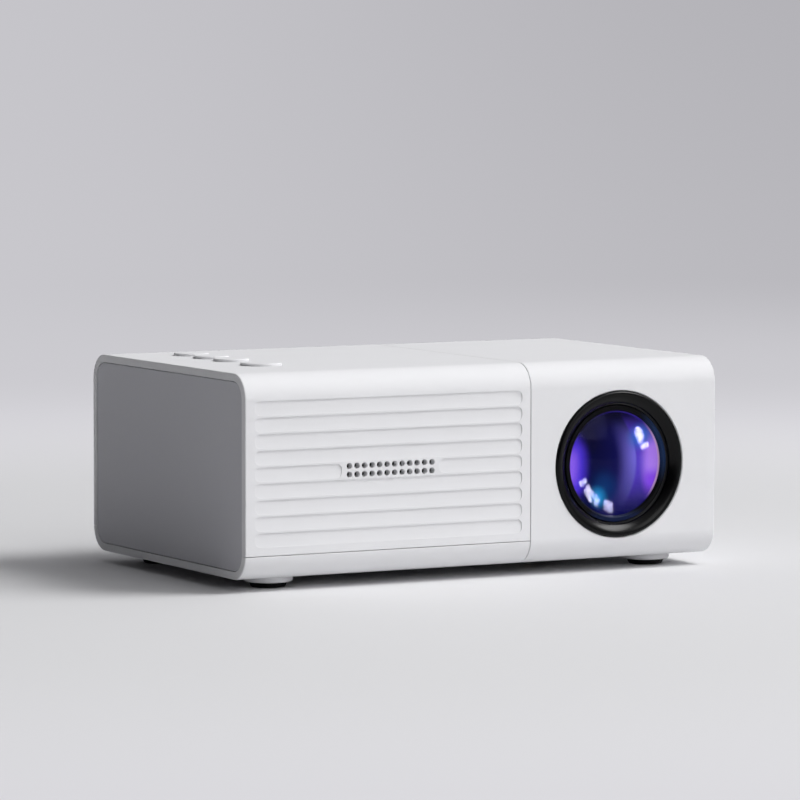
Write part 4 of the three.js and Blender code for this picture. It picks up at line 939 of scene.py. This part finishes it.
def tray_mesh():
    """Lower part of the section, from the front seam under the case to the back seam. A row at
    height z lies on the rounded edge at the angle asin((shoulder - z) / edge)."""
    rim_z, rim_depth = rim(SEAM_Z - GAP / 2, UNDER, SEAM_RIM)
    shoulder = UNDER + EDGE
    start = math.asin((shoulder - rim_z[-1] + 0.02) / EDGE)
    angle = np.concatenate([np.arcsin((shoulder - rim_z) / EDGE),
                            np.linspace(start, np.pi / 2, 15)[:-1]])
    inward = directions(angle)
    front = np.array([FRONT + EDGE, shoulder]) - EDGE * inward
    bottom = np.linspace(FRONT + EDGE, BACK - EDGE, 9)
    flat = np.stack([bottom, np.full(len(bottom), UNDER)], 1)
    flip = np.array([-1, 1])
    places, inward = section_path([
        (front, inward), (flat, (0, 1)),
        (front[::-1] * flip + np.array([FRONT + BACK, 0]), inward[::-1] * flip)])
    s_depth = np.concatenate([rim_depth, np.zeros(len(places) - 2 * len(rim_z)), rim_depth[::-1]])
    xs, x_depth = long_rows(LEFT, END_RIM, SEAM_X - GAP / 2, SEAM_RIM)
    return skin("tray", xs, x_depth, places, inward, s_depth)


def below_cutter(x, y, outline, lip, depth=WALL + 1):
    return hole(outline, -UNDER, depth, lip, OUT_OF_BELOW, (x, y, 0))


def belly_cutters():
    """Six air slots under the 17 mm deep fins of the heat sink."""
    middle, size = place_mm("heat_sink")
    fins = middle[0] - size[0] / 2 + 17.0 / 2
    outline = round_rect(SLOT_WIDTH, 18.0, SLOT_CORNER)
    return [below_cutter(x, middle[1], outline, 0.15) for x in fins + centred(6, SLOT_PITCH)]


def screw_cutters(left):
    """Recesses of the two screws on one side of the upright seam."""
    return [below_cutter(x, y, circle(2.5, 32), 0.15, 1.0)
            for x, y, _ in SCREWS if (x < SEAM_X) == left]


def plate_mesh(x, y):
    """The flat plate with the tripod insert's bore at x, y."""
    x0 = SEAM_X - GAP
    plate = slab("plate", round_rect(PLATE_RIGHT - x0, 2 * PLATE_HALF, PLATE_CORNER), UNDER,
                 UNDER + WALL, 0.14, ALONG_Z, ((x0 + PLATE_RIGHT) / 2, MIDDLE_Y, 0))
    bore = below_cutter(x, y, circle(INSERT_BORE - 0.02, 64), 0.2)
    return carved("plate", plate, screw_cutters(False) + [bore])


def tube(bore, radius, low, high):
    """Corners of a tube's section, from the foot of its bore outwards."""
    return [(bore, low), (radius, low), (radius, high), (bore, high)]


def collar_mesh(x, y):
    """The collar that holds the tripod insert."""
    section = tube(INSERT_BORE, COLLAR_RADIUS, UNDER + 0.4, box_mm("tripod_insert")[1][2])
    return turned("collar", rounded(section, [0, 0, 0.2, 0.2]), "z", (x, y, 0), 64)


def boss_mesh(x, y):
    section = tube(BOSS_BORE, BOSS_RADIUS, BOSS_FOOT, UNDER + 0.9)
    return turned("boss", rounded(section, [0.12, 0.5, 0, 0]), "z", (x, y, 0), 72)


def bottom_shell_mesh():
    tray = carved("tray", tray_mesh(), screw_cutters(True) + belly_cutters())
    x, y, _ = place_mm("tripod_insert")[0]
    bosses = [boss_mesh(foot[0], foot[1]) for foot in FEET]
    return joined("bottom_shell", [tray, plate_mesh(x, y), collar_mesh(x, y)] + bosses)


shown("bottom_shell_skin", bottom_shell_mesh(), "shell", ["bottom_shell"])

# %% [markdown]
# ## End panels
# A flat panel closes each end, set just below the rim with a thin groove round it. The left one
# is plain. The right one has a row of upright air slots.

# %% End panels
def end_panel_mesh(node):
    low, high = box_mm(node)
    middle, size = place_mm(node)
    outline = round_rect(size[1] + 0.2, size[2] + 0.2, EDGE - WALL - 0.1, 12)
    return slab(node, outline, low[0], high[0], 0.2, ALONG_X, (0, middle[1], middle[2]))


def panel_slots(node, count=13):
    """Upright slots 22 mm high."""
    middle, size = place_mm(node)
    outline, face_x = round_rect(SLOT_WIDTH, 22.0, SLOT_CORNER), middle[0] + size[0] / 2
    return [hole(outline, face_x, 3.5, 0.15, ALONG_X, (0, y, middle[2]))
            for y in middle[1] + centred(count, SLOT_PITCH)]


left, right = end_panel_mesh("left_end_panel"), end_panel_mesh("right_end_panel")
right = carved("right_panel", right, panel_slots("right_end_panel"))
shown("left_panel", left, "end_panel", ["left_end_panel"])
shown("right_panel", right, "end_panel", ["right_end_panel"])

# %% [markdown]
# ## Keys
# Four round keys stand 0.65 mm proud of the top. Each is a turned cap with a soft rim, a flange
# that keeps it from lifting out, and a stem that presses its switch.

# %% Keys
STEM_RADIUS, STEM_HEIGHT = 1.9, 1.2


def key_mesh(name):
    low, high = box_mm(name + "_key")
    centre, radius, crown = key_place(name)
    flange, stem_top, flange_top = radius + KEY_FLANGE, low[2] + STEM_HEIGHT, TOP - WALL - 0.3
    section = rounded(
        [(0, low[2]), (STEM_RADIUS, low[2]), (STEM_RADIUS, stem_top), (flange, stem_top),
         (flange, flange_top), (radius, flange_top), (radius, crown), (0, crown + 0.02)],
        [0, 0.2, 0, 0.2, 0.2, 0, 0.28, 0], 5)
    return turned(name, section, "z", (centre[0], centre[1], 0), 96)


for name in KEY_NAMES:
    shown(name + "_cap", key_mesh(name), "shell", [name + "_key"], name + "_key")

# %% [markdown]
# ## Foot pads
# A black rubber pad sits in each boss. It tapers towards the table and has a shallow ring
# underneath that grips.

# %% Foot pads
for name, foot in zip(CORNERS, FEET):
    section = rounded(
        [(0, 0.25), (2.6, 0.25), (2.75, 0.0), (3.9, 0.0), (4.55, 1.3), (4.55, 2.0), (0, 2.0)],
        [0, 0.15, 0.12, 0.35, 0.25, 0.1, 0], 4)
    pad = turned("pad", section, "z", (foot[0], foot[1], 0), 72)
    shown("pad_" + name, pad, "foot_rubber", ["foot_pad_" + name])

# %% [markdown]
# ## Focus ring
# The black ring is turned by hand to focus. Its lip is a soft roll that catches the light below,
# and it falls away inwards to the lens.

# %% Focus ring
LIP_RADIUS, OPENING = 0.6, 14.45
LIP_TOP = RING_RADIUS - LIP_RADIUS
SLOPE, BORE_BEND = math.radians(48.0), 0.25
RING_FLANGE, SKIRT_RADIUS = RING_RADIUS + 0.7, 15.7


def ring_front(steps=24):
    """Outside, the lip is a quarter circle. Inside, its slope grows with the distance d from the
    top as 48 degrees * (1 - e^-d), and the height is the running sum of that slope's tangent. A
    small arc then turns it into the bore."""
    d = np.linspace(0, LIP_TOP - OPENING - BORE_BEND, steps)
    slope = SLOPE * (1 - np.exp(-d))
    fall = np.tan(slope)
    drop = np.concatenate([[0], np.cumsum((fall[1:] + fall[:-1]) / 2 * np.diff(d))])
    inside = np.stack([LIP_TOP - d, drop], 1)
    last = slope[-1]
    t = np.linspace(last, np.pi / 2, 6)[1:]
    size = BORE_BEND / (1 - math.sin(last))
    bend = np.stack([-size * (np.sin(t) - math.sin(last)), size * (math.cos(last) - np.cos(t))], 1)
    t = quarter(7)[1:]
    outside = np.stack([LIP_TOP + LIP_RADIUS * np.sin(t), LIP_RADIUS * (1 - np.cos(t))], 1)
    return np.concatenate([(bend + inside[-1])[::-1], inside[::-1], outside])


ring_front_half = ring_front()
print("ring lip falls", round(float(ring_front_half[0, 1]), 2), "mm to its bore")
ring_depth = RING_HIGH[1] - RING_LOW[1]
ring_rear_half = rounded(
    [(RING_RADIUS, 2.5), (RING_FLANGE, 2.5), (RING_FLANGE, 3.5), (RING_RADIUS, 3.5),
     (RING_RADIUS, ring_depth), (SKIRT_RADIUS, ring_depth), (SKIRT_RADIUS, 2.0), (OPENING, 2.0)],
    [0, 0.1, 0.1, 0, 0.2, 0.2, 0, 0.05], 6)
ring_section = np.concatenate([ring_front_half, ring_rear_half]) + [0, RING_LOW[1]]
ring = turned("focus_ring", ring_section, "y", LENS_AXIS, 160)
shown("ring", ring, "black_ring", ["focus_ring"], "focus_ring")

# %% [markdown]
# ## Lens: retainer, domed front face and hollow coated face
# A thin black ring holds the front glass in its barrel. A painted blue reflection of the coating
# shows in it faintly, at the upper right and below. The glass domes forwards. Behind the dome lies
# the coated face, which is hollow, so it mirrors each lamp a second time, upside down, at the
# opposite side of the lens. That pair of reflections is what makes it read as thick glass. The
# coated face's colours are painted reflections that glow faintly.

# %% Retainer and front glass
RETAINER_LOW, RETAINER_HIGH = box_mm("lens_retainer")
GLASS_LOW, GLASS_HIGH = box_mm("front_lens")
DOME_RADIUS, DOME_RISE, GLASS_EDGE = 12.6, 2.2, 12.95
REAR_RADIUS, REAR_RISE = 11.1, 1.6
RIM_Y = GLASS_LOW[1] + DOME_RISE
HOLLOW_Y, REAR_Y = RIM_Y + 0.15, GLASS_HIGH[1] - REAR_RISE
RETAINER_RADIUS = 13.9
retainer_section = rounded(
    [(CLEAR_RADIUS, RETAINER_LOW[1] + 0.45), (GLASS_EDGE, RETAINER_LOW[1]),
     (RETAINER_RADIUS, RETAINER_LOW[1]), (RETAINER_RADIUS, RETAINER_HIGH[1]),
     (CLEAR_RADIUS, RETAINER_HIGH[1])], [0.08, 0.1, 0.15, 0, 0])
retainer = turned("lens_retainer", retainer_section, "y", LENS_AXIS, 128)


def retainer_with_painted_reflection():
    """Matt black with a painted blue reflection of the coating where both a and b are high, and
    where b is very low.
    """
    paint = Paint("retainer black with painted reflection", Specular_IOR_Level=0.1)
    a = (paint.part("X") - LENS_X) / 13.4
    b = (paint.part("Z") - AXIS_Z) / 13.4
    # painted blue reflection of the coating, at the upper right and at the bottom
    right = a.ramp(0.45, 0.85) * b.ramp(-0.45, 0.15)
    painted_reflection_below = b.ramp(-0.80, -0.97)
    grain = paint.noise(0.2)
    colour = right.between((0.001, 0.001, 0.0015), (0.010, 0.028, 0.09))
    colour = painted_reflection_below.between(colour, (0.004, 0.010, 0.045))
    paint.set(Base_Color=colour, Roughness=grain * 0.1 + 0.4, Normal=paint.bump(grain, 0.002))
    return paint.material


shown("retainer", retainer, "black_ring", ["lens_retainer"], "lens_barrel", retainer_with_painted_reflection())


def face(radius, rim_y, rise, steps=20):
    """Points (r, y) of a round face from its middle out: y = rim - rise (1 - (r / radius)^2)."""
    r = np.linspace(0, radius, steps)
    return np.stack([r, rim_y - rise * (1 - (r / radius) ** 2)], 1)


outer = face(DOME_RADIUS, RIM_Y, DOME_RISE, 48)
inner = face(DOME_RADIUS, RIM_Y + 0.1, DOME_RISE - 0.1, 48)
edge = [(GLASS_EDGE, RIM_Y), (GLASS_EDGE, RIM_Y + 0.1)]
dome = turned("dome", np.concatenate([outer, edge, inner[::-1]]), "y", LENS_AXIS, 192)
shown("front_glass", dome, "lens_glass", ["front_lens"], "lens_barrel")

# The hollow coated face carries the painted reflections and glow of the coating.
hollow = face(DOME_RADIUS + 0.05, HOLLOW_Y, -2.24, 56)
rear = face(REAR_RADIUS, REAR_Y, -REAR_RISE, 16)
edge = [(GLASS_EDGE + 0.05, HOLLOW_Y), (GLASS_EDGE + 0.05, REAR_Y)]
painted_reflection_lens = turned("coated_lens_painted_reflections", np.concatenate([hollow, edge, rear[::-1]]), "y", LENS_AXIS, 192)
shown("coated_lens_painted_reflections", painted_reflection_lens, "lens_glass", ["front_lens"], "lens_barrel", PAINTED_LENS_REFLECTIONS)

# %% [markdown]
# ## Sockets
# A plug socket is a folded steel shell. The widest one's mouth has two slanted lower corners, so
# its plug goes in one way up. Each shell is a rounded block with its mouth cut out, because folding
# a sheet would need its bends worked out one by one and looks the same from outside.

# %% Sockets: steel shells
SOCKET_RIM, SOCKET_REAR = 0.42, 1.2


def polygon_outline(corners, radius, steps=3):
    """Outline of a polygon, given anticlockwise, with rounded corners. The outward normal is the
    direction from the point before to the point after, turned right by a right angle."""
    points = rounded(corners, [radius] * len(corners), steps)
    along = np.roll(points, -1, 0) - np.roll(points, 1, 0)
    normals = np.stack([along[:, 1], -along[:, 0]], 1)
    return points, normals / np.linalg.norm(normals, axis=1, keepdims=True)


def mouth_outline(width, height, slant):
    """A socket's mouth, height first. Its two lower corners are cut off by `slant`."""
    if not slant:
        return round_rect(height, width, 0.25, 3)
    w, h = width / 2, height / 2
    corners = [(h, -w), (h, w), (1.7 - h, w), (-h, w - slant), (-h, slant - w), (1.7 - h, -w)]
    return polygon_outline(corners, 0.3)


def hollowed(node, round_by, edge, mouth, lip):
    """A block as big as the CAD node, with rounded corners and edges, and its mouth cut in from
    the back."""
    low, high = box_mm(node)
    middle, size = place_mm(node)
    place = (middle[0], 0, middle[2])
    outline = round_rect(size[2], size[0], round_by, 4)
    body = slab(node, outline, low[1], high[1], edge, ALONG_Y, place)
    return carved(node, body, [hole(mouth, high[1], size[1] - SOCKET_REAR, lip, ALONG_Y, place)])


for node, slant in (("hdmi_socket", 1.4), ("usb_socket", 0.0), ("card_slot", 0.0)):
    size = place_mm(node)[1] - 2 * SOCKET_RIM
    shell = hollowed(node, 0.45, 0.12, mouth_outline(size[0], size[2], slant), 0.12)
    shown(node.split("_")[0] + "_shell", shell, "steel", [node])

# %% [markdown]
# ## Tongues and contacts
# Inside a socket a black tongue carries a row of plated strips, which touch the strips in the plug.
# Both are small blocks. Each kind becomes one mesh, since all its blocks share one material.

# %% Sockets: tongues and contacts
TONGUES = (("hdmi_socket", 10.8, 0.1, 10, 1.0, 0.5), ("usb_socket", 9.6, -0.8, 4, 2.2, 1.1))


def tongues_and_contacts():
    """A tongue across each mouth, `rise` above its middle, and the row of strips on it."""
    tongues, contacts = [], []
    for node, width, rise, count, pitch, strip in TONGUES:
        low, high = box_mm(node)
        x, _, z = (low + high) / 2 + (0, 0, rise)
        tongues.append(block("tongue", (x - width / 2, low[1] + 0.8, z - 0.55),
                             (x + width / 2, high[1] - 1.2, z + 0.55), 0.12))
        for at in x + centred(count, pitch):
            contacts.append(block("contact", (at - strip / 2, low[1] + 1.0, z + 0.5),
                                  (at + strip / 2, high[1] - 1.55, z + 0.67), 0.04))
    return joined("tongues", tongues), joined("contacts", contacts)


tongues, contacts = tongues_and_contacts()
both = ["hdmi_socket", "usb_socket"]
shown("socket_tongues", tongues, "inner_plastic", both)
shown("socket_contacts", contacts, "insert_brass", both)

# %% [markdown]
# ## Power inlet and sound jack
# The power inlet is a black block with a round bore and a steel pin; the plug's sleeve goes between
# them. The sound jack is a round sleeve with a collar. Its section is turned, so its bore is there
# from the start and needs no cut.

# %% Sockets: power inlet and sound jack
def turned_on(node, section, radii, sides):
    """A turned piece on the node's own axis. The section's heights count from the node's front."""
    middle, size = place_mm(node)
    section = rounded(section, radii) + [0, middle[1] - size[1] / 2]
    return turned(node, section, "y", (middle[0], 0, middle[2]), sides)


def pin_mesh():
    """The pin that stands in the inlet's bore."""
    end = place_mm("power_inlet")[1][1] - 1.2
    section = [(0, 0.8), (1.0, 0.8), (1.0, end), (0, end)]
    return turned_on("power_inlet", section, [0, 0, 0.6, 0], 48)


def jack_mesh():
    """A turned sleeve with a raised collar round its bore, which is 3.6 mm wide."""
    diameter, depth, _ = place_mm("sound_jack")[1]
    radius, step = diameter / 2, depth - 0.4
    section = [(0, 0), (radius, 0), (radius, step), (2.5, step), (2.5, depth), (1.8, depth),
               (1.8, SOCKET_REAR), (0, SOCKET_REAR)]
    return turned_on("sound_jack", section, [0, 0.2, 0.15, 0.1, 0.12, 0.2, 0, 0], 64)


inlet = hollowed("power_inlet", 0.5, 0.2, circle(3.15, 64), 0.3)
shown("inlet_body", inlet, "inner_plastic", ["power_inlet"])
shown("inlet_pin", pin_mesh(), "steel", ["power_inlet"])
shown("jack_sleeve", jack_mesh(), "inner_plastic", ["sound_jack"])

# %% [markdown]
# ## The CAD pieces that stay
# The inner pieces show only through slots and the lens, so they keep their CAD shapes. Each gets
# the procedural material of its slot.

# %% CAD pieces that stay
kept = 0
for entry in frame["record"]["subparts"]:
    obj = frame["nodes"][entry["node"]]
    if obj.hide_render:
        continue
    obj.data.materials.clear()
    obj.data.materials.append(SLOT_MATERIALS[entry["material_slot"]])
    kept += 1
print("CAD pieces kept:", kept)

# %% [markdown]
# ## Stage
# The object stands on a plain pale floor that curves up into a backdrop. The floor is a real matt
# surface, so it takes shadows and sends light back up. Further out the camera sees a soft glow in
# its place, which keeps the backdrop pale without adding any light to the object.

# %% Stage
FLOOR_REACH, FADE, CAMERA_LEAD = 1250.0, 150.0, 320.0
FLAT_REACH, BEND, STAGE_TOP, STAGE_SIDES = 1300.0, 900.0, 3000.0, 128


def stage_mesh():
    """A bowl: flat to 1.3 m, then a quarter circle up to a wall. Radii and heights in mm."""
    flat = np.concatenate([np.linspace(0, 600, 13), np.linspace(660, FLAT_REACH, 12)])
    t = quarter(16)[1:]
    r = np.concatenate([flat, FLAT_REACH + BEND * np.sin(t), [FLAT_REACH + BEND]])[:, None]
    z = np.concatenate([np.zeros(len(flat)), BEND * (1 - np.cos(t)), [STAGE_TOP]])[:, None]
    t = np.linspace(0, 2 * np.pi, STAGE_SIDES, endpoint=False)
    x, y, z = np.broadcast_arrays(r * np.cos(t), r * np.sin(t), z)
    points = np.stack([x, y, z], -1).reshape(-1, 3)
    return new_mesh("stage", points, grid_quads(len(r), STAGE_SIDES, closed_columns=True))


TONES = (  # left and right tone of each zone, from the object outwards
    ((222, 221, 226), (232, 231, 236)), ((204, 203, 208), (203, 202, 207)),
    ((201, 200, 205), (185, 184, 189)), ((194, 193, 198), (173, 172, 177)),
)
REACHES = ((180.0, 640.0), (560.0, 1300.0), (1300.0, 2300.0))


def backdrop_colour(paint, away):
    """Colours by distance from the object. Each zone goes from its left to its right tone."""
    side = (paint.part("X") * 0.8763 + paint.part("Y") * -0.4817).ramp(-280.0, 280.0)
    glow, *outer = [side.between(linear(*left), linear(*right)) for left, right in TONES]
    for tone, reach in zip(outer, REACHES):
        glow = away.ramp(*reach).between(glow, tone)
    return glow


def stage_paint():
    """Matt floor. For camera rays it turns into the backdrop's glow with distance."""
    paint = Paint("stage", Specular_IOR_Level=0.2)
    away = paint.add("ShaderNodeVectorMath", "Value", {"operation": "LENGTH"}, Vector=paint.place)
    grain = paint.noise(400.0)
    paint.set(Base_Color=grain.between((0.74, 0.74, 0.75), (0.76, 0.76, 0.77)))
    paint.set(Roughness=grain * 0.1 + 0.7)
    glow = paint.add("ShaderNodeEmission", 0, Color=backdrop_colour(paint, away), Strength=1.0)
    clear = paint.add("ShaderNodeBsdfTransparent", 0)
    camera, mirrored, through = (paint.add("ShaderNodeLightPath", f"Is {kind} Ray")
                                 for kind in ("Camera", "Glossy", "Transmission"))
    behind = paint.part("Y").ramp(-200.0, 600.0)
    seen = camera + (mirrored + through) * behind
    floor = Wire(paint.tree, paint.shader.outputs[0])
    far = mix_shaders(paint, seen, clear, glow)
    reach = away + camera * (FLOOR_REACH - CAMERA_LEAD)
    beyond = reach.ramp(FLOOR_REACH - FADE, FLOOR_REACH + FADE)
    return finish_with(paint, mix_shaders(paint, beyond, floor, far))


floor = new_object("stage_floor", stage_mesh())
floor.data.materials.append(stage_paint())
floor.data.shade_smooth()
print("stage ready")

# %% [markdown]
# ## Light
# One large soft box stands high on the right and throws the soft shadow to the left. A wide,
# weaker one fills the front. Small bright cards light nothing but the lens, where they are mirrored
# as the little windows that every photograph of a lens shows. Light linking keeps them off all
# other pieces.

# %% Lamps
def area_lamp(name, size, power, target, direction, distance, roll=0.0):
    """A rectangular lamp, `distance` metres from a target in millimetres and turned to face it."""
    data = bpy.data.lights.new(name, "AREA")
    data.shape, data.energy = "RECTANGLE", power
    data.size, data.size_y = size
    lamp = new_object(name, data)
    lamp.location = Vector(target) * MM + direction * distance
    facing = (-direction).to_track_quat("-Z", "Y").to_matrix()
    lamp.rotation_euler = (facing @ Matrix.Rotation(roll, 3, "Z")).to_euler()
    return lamp


def soft_box(name, direction, distance, size, irradiance):
    """A white matt face turned to this lamp gets `irradiance` as its share of full white:
    power = irradiance * pi^2 * distance^2, for a lamp that is small for its distance."""
    power = irradiance * math.pi ** 2 * distance ** 2
    area_lamp(name, (size, size), power, (0, 0, 25), Vector(direction).normalized(), distance)


def card(name, azimuth, elevation, width, height, roll, lit, brightness=130.0, distance=0.8):
    """A small lamp seen only as a reflection: angles in degrees as seen from the lens, azimuth from
    the right towards the front. power = pi * area * brightness."""
    a, e, roll = (math.radians(angle) for angle in (azimuth, elevation, roll))
    direction = Vector((math.cos(a) * math.cos(e), -math.sin(a) * math.cos(e), math.sin(e)))
    size = [distance * math.radians(angle) for angle in (width, height)]
    lamp = area_lamp(name, size, math.pi * size[0] * size[1] * brightness, (LENS_X, RIM_Y, AXIS_Z),
                     direction, distance, roll)
    lamp.visible_camera = lamp.visible_diffuse = False
    receivers = bpy.data.collections.new(name + "_lights")
    for piece in lit:
        receivers.objects.link(bpy.data.objects[piece])
    lamp.light_linking.receiver_collection = receivers


soft_box("key", (0.78, -0.43, 1.0), 3.2, 1.6, 0.835)
soft_box("fill", (0.15, -1.0, 0.52), 2.6, 1.4, 0.195)
card("card_a", 38.5, 10.4, 6.4, 8.0, 30, ["front_glass", "coated_lens_painted_reflections"])
card("card_b", 34.3, 4.0, 7.2, 2.9, 12, ["front_glass", "coated_lens_painted_reflections"])
card("card_c", 44.0, 15.6, 3.4, 6.4, -42, ["coated_lens_painted_reflections"])
card("card_d", 52.7, 20.3, 6.7, 6.6, -25, ["coated_lens_painted_reflections"])

# %% [markdown]
# ## Room light
# The room adds even light that is stronger from the upper right than from the left, and weaker from
# below. A brightness that changes smoothly with direction does this without a picture of a room.

# %% World: stronger from the upper right
world = bpy.data.worlds.new("room")
world.use_nodes = True
sky = world.node_tree
direction = Wire(sky, sky.nodes.new("ShaderNodeTexCoord").outputs["Generated"])
towards = sky.nodes.new("ShaderNodeVectorMath")
towards.operation = "DOT_PRODUCT"
plug(sky, towards.inputs[0], direction)
towards.inputs[1].default_value = Vector((0.75, -0.25, 0.60)).normalized()
height = sky.nodes.new("ShaderNodeSeparateXYZ")
plug(sky, height.inputs[0], direction)
low_down = Wire(sky, height.outputs["Z"]).ramp(-0.2, 0.6, 0.40, 1.05)
strength = Wire(sky, towards.outputs["Value"]).ramp(-0.25, 1.0, 0.012, 0.49) * low_down
plug(sky, sky.nodes["Background"].inputs["Strength"], strength)
sky.nodes["Background"].inputs["Color"].default_value = (0.97, 0.97, 1.0, 1)
bpy.context.scene.world = world
bpy.context.scene.view_settings.view_transform = "Standard"
print("world ready")

# %% [markdown]
# ## Camera
# The camera stands where the photographer's did: to the left, a little above the middle of the
# object, with a long lens that keeps the upright edges parallel.

# %% Camera
AZIMUTH, ELEVATION, ROLL = np.radians([-28.794, 4.567, 0.064]).tolist()
FOCAL_LENGTH, SENSOR_WIDTH = 222.69, 36
DISTANCE, LOOKED_AT = 1.19222, (-0.774, 0.2, 39.404)


def add_camera():
    """The camera looks from DISTANCE metres at LOOKED_AT, in millimetres."""
    back = Vector((math.sin(AZIMUTH) * math.cos(ELEVATION),
                   -math.cos(AZIMUTH) * math.cos(ELEVATION), math.sin(ELEVATION)))
    right = (-back).cross(Vector((0, 0, 1))).normalized()
    up = right.cross(-back)
    right, up = (right * math.cos(ROLL) + up * math.sin(ROLL),
                 up * math.cos(ROLL) - right * math.sin(ROLL))
    data = bpy.data.cameras.new("camera")
    data.lens, data.sensor_width = FOCAL_LENGTH, SENSOR_WIDTH
    data.clip_start, data.clip_end = 0.01, 50
    camera = new_object("camera", data)
    place = Vector(LOOKED_AT) * MM + back * DISTANCE
    turn = Matrix((right, up, back)).transposed().to_4x4()
    camera.matrix_world = Matrix.Translation(place) @ turn
    bpy.context.scene.camera = camera


add_camera()
print("camera ready")
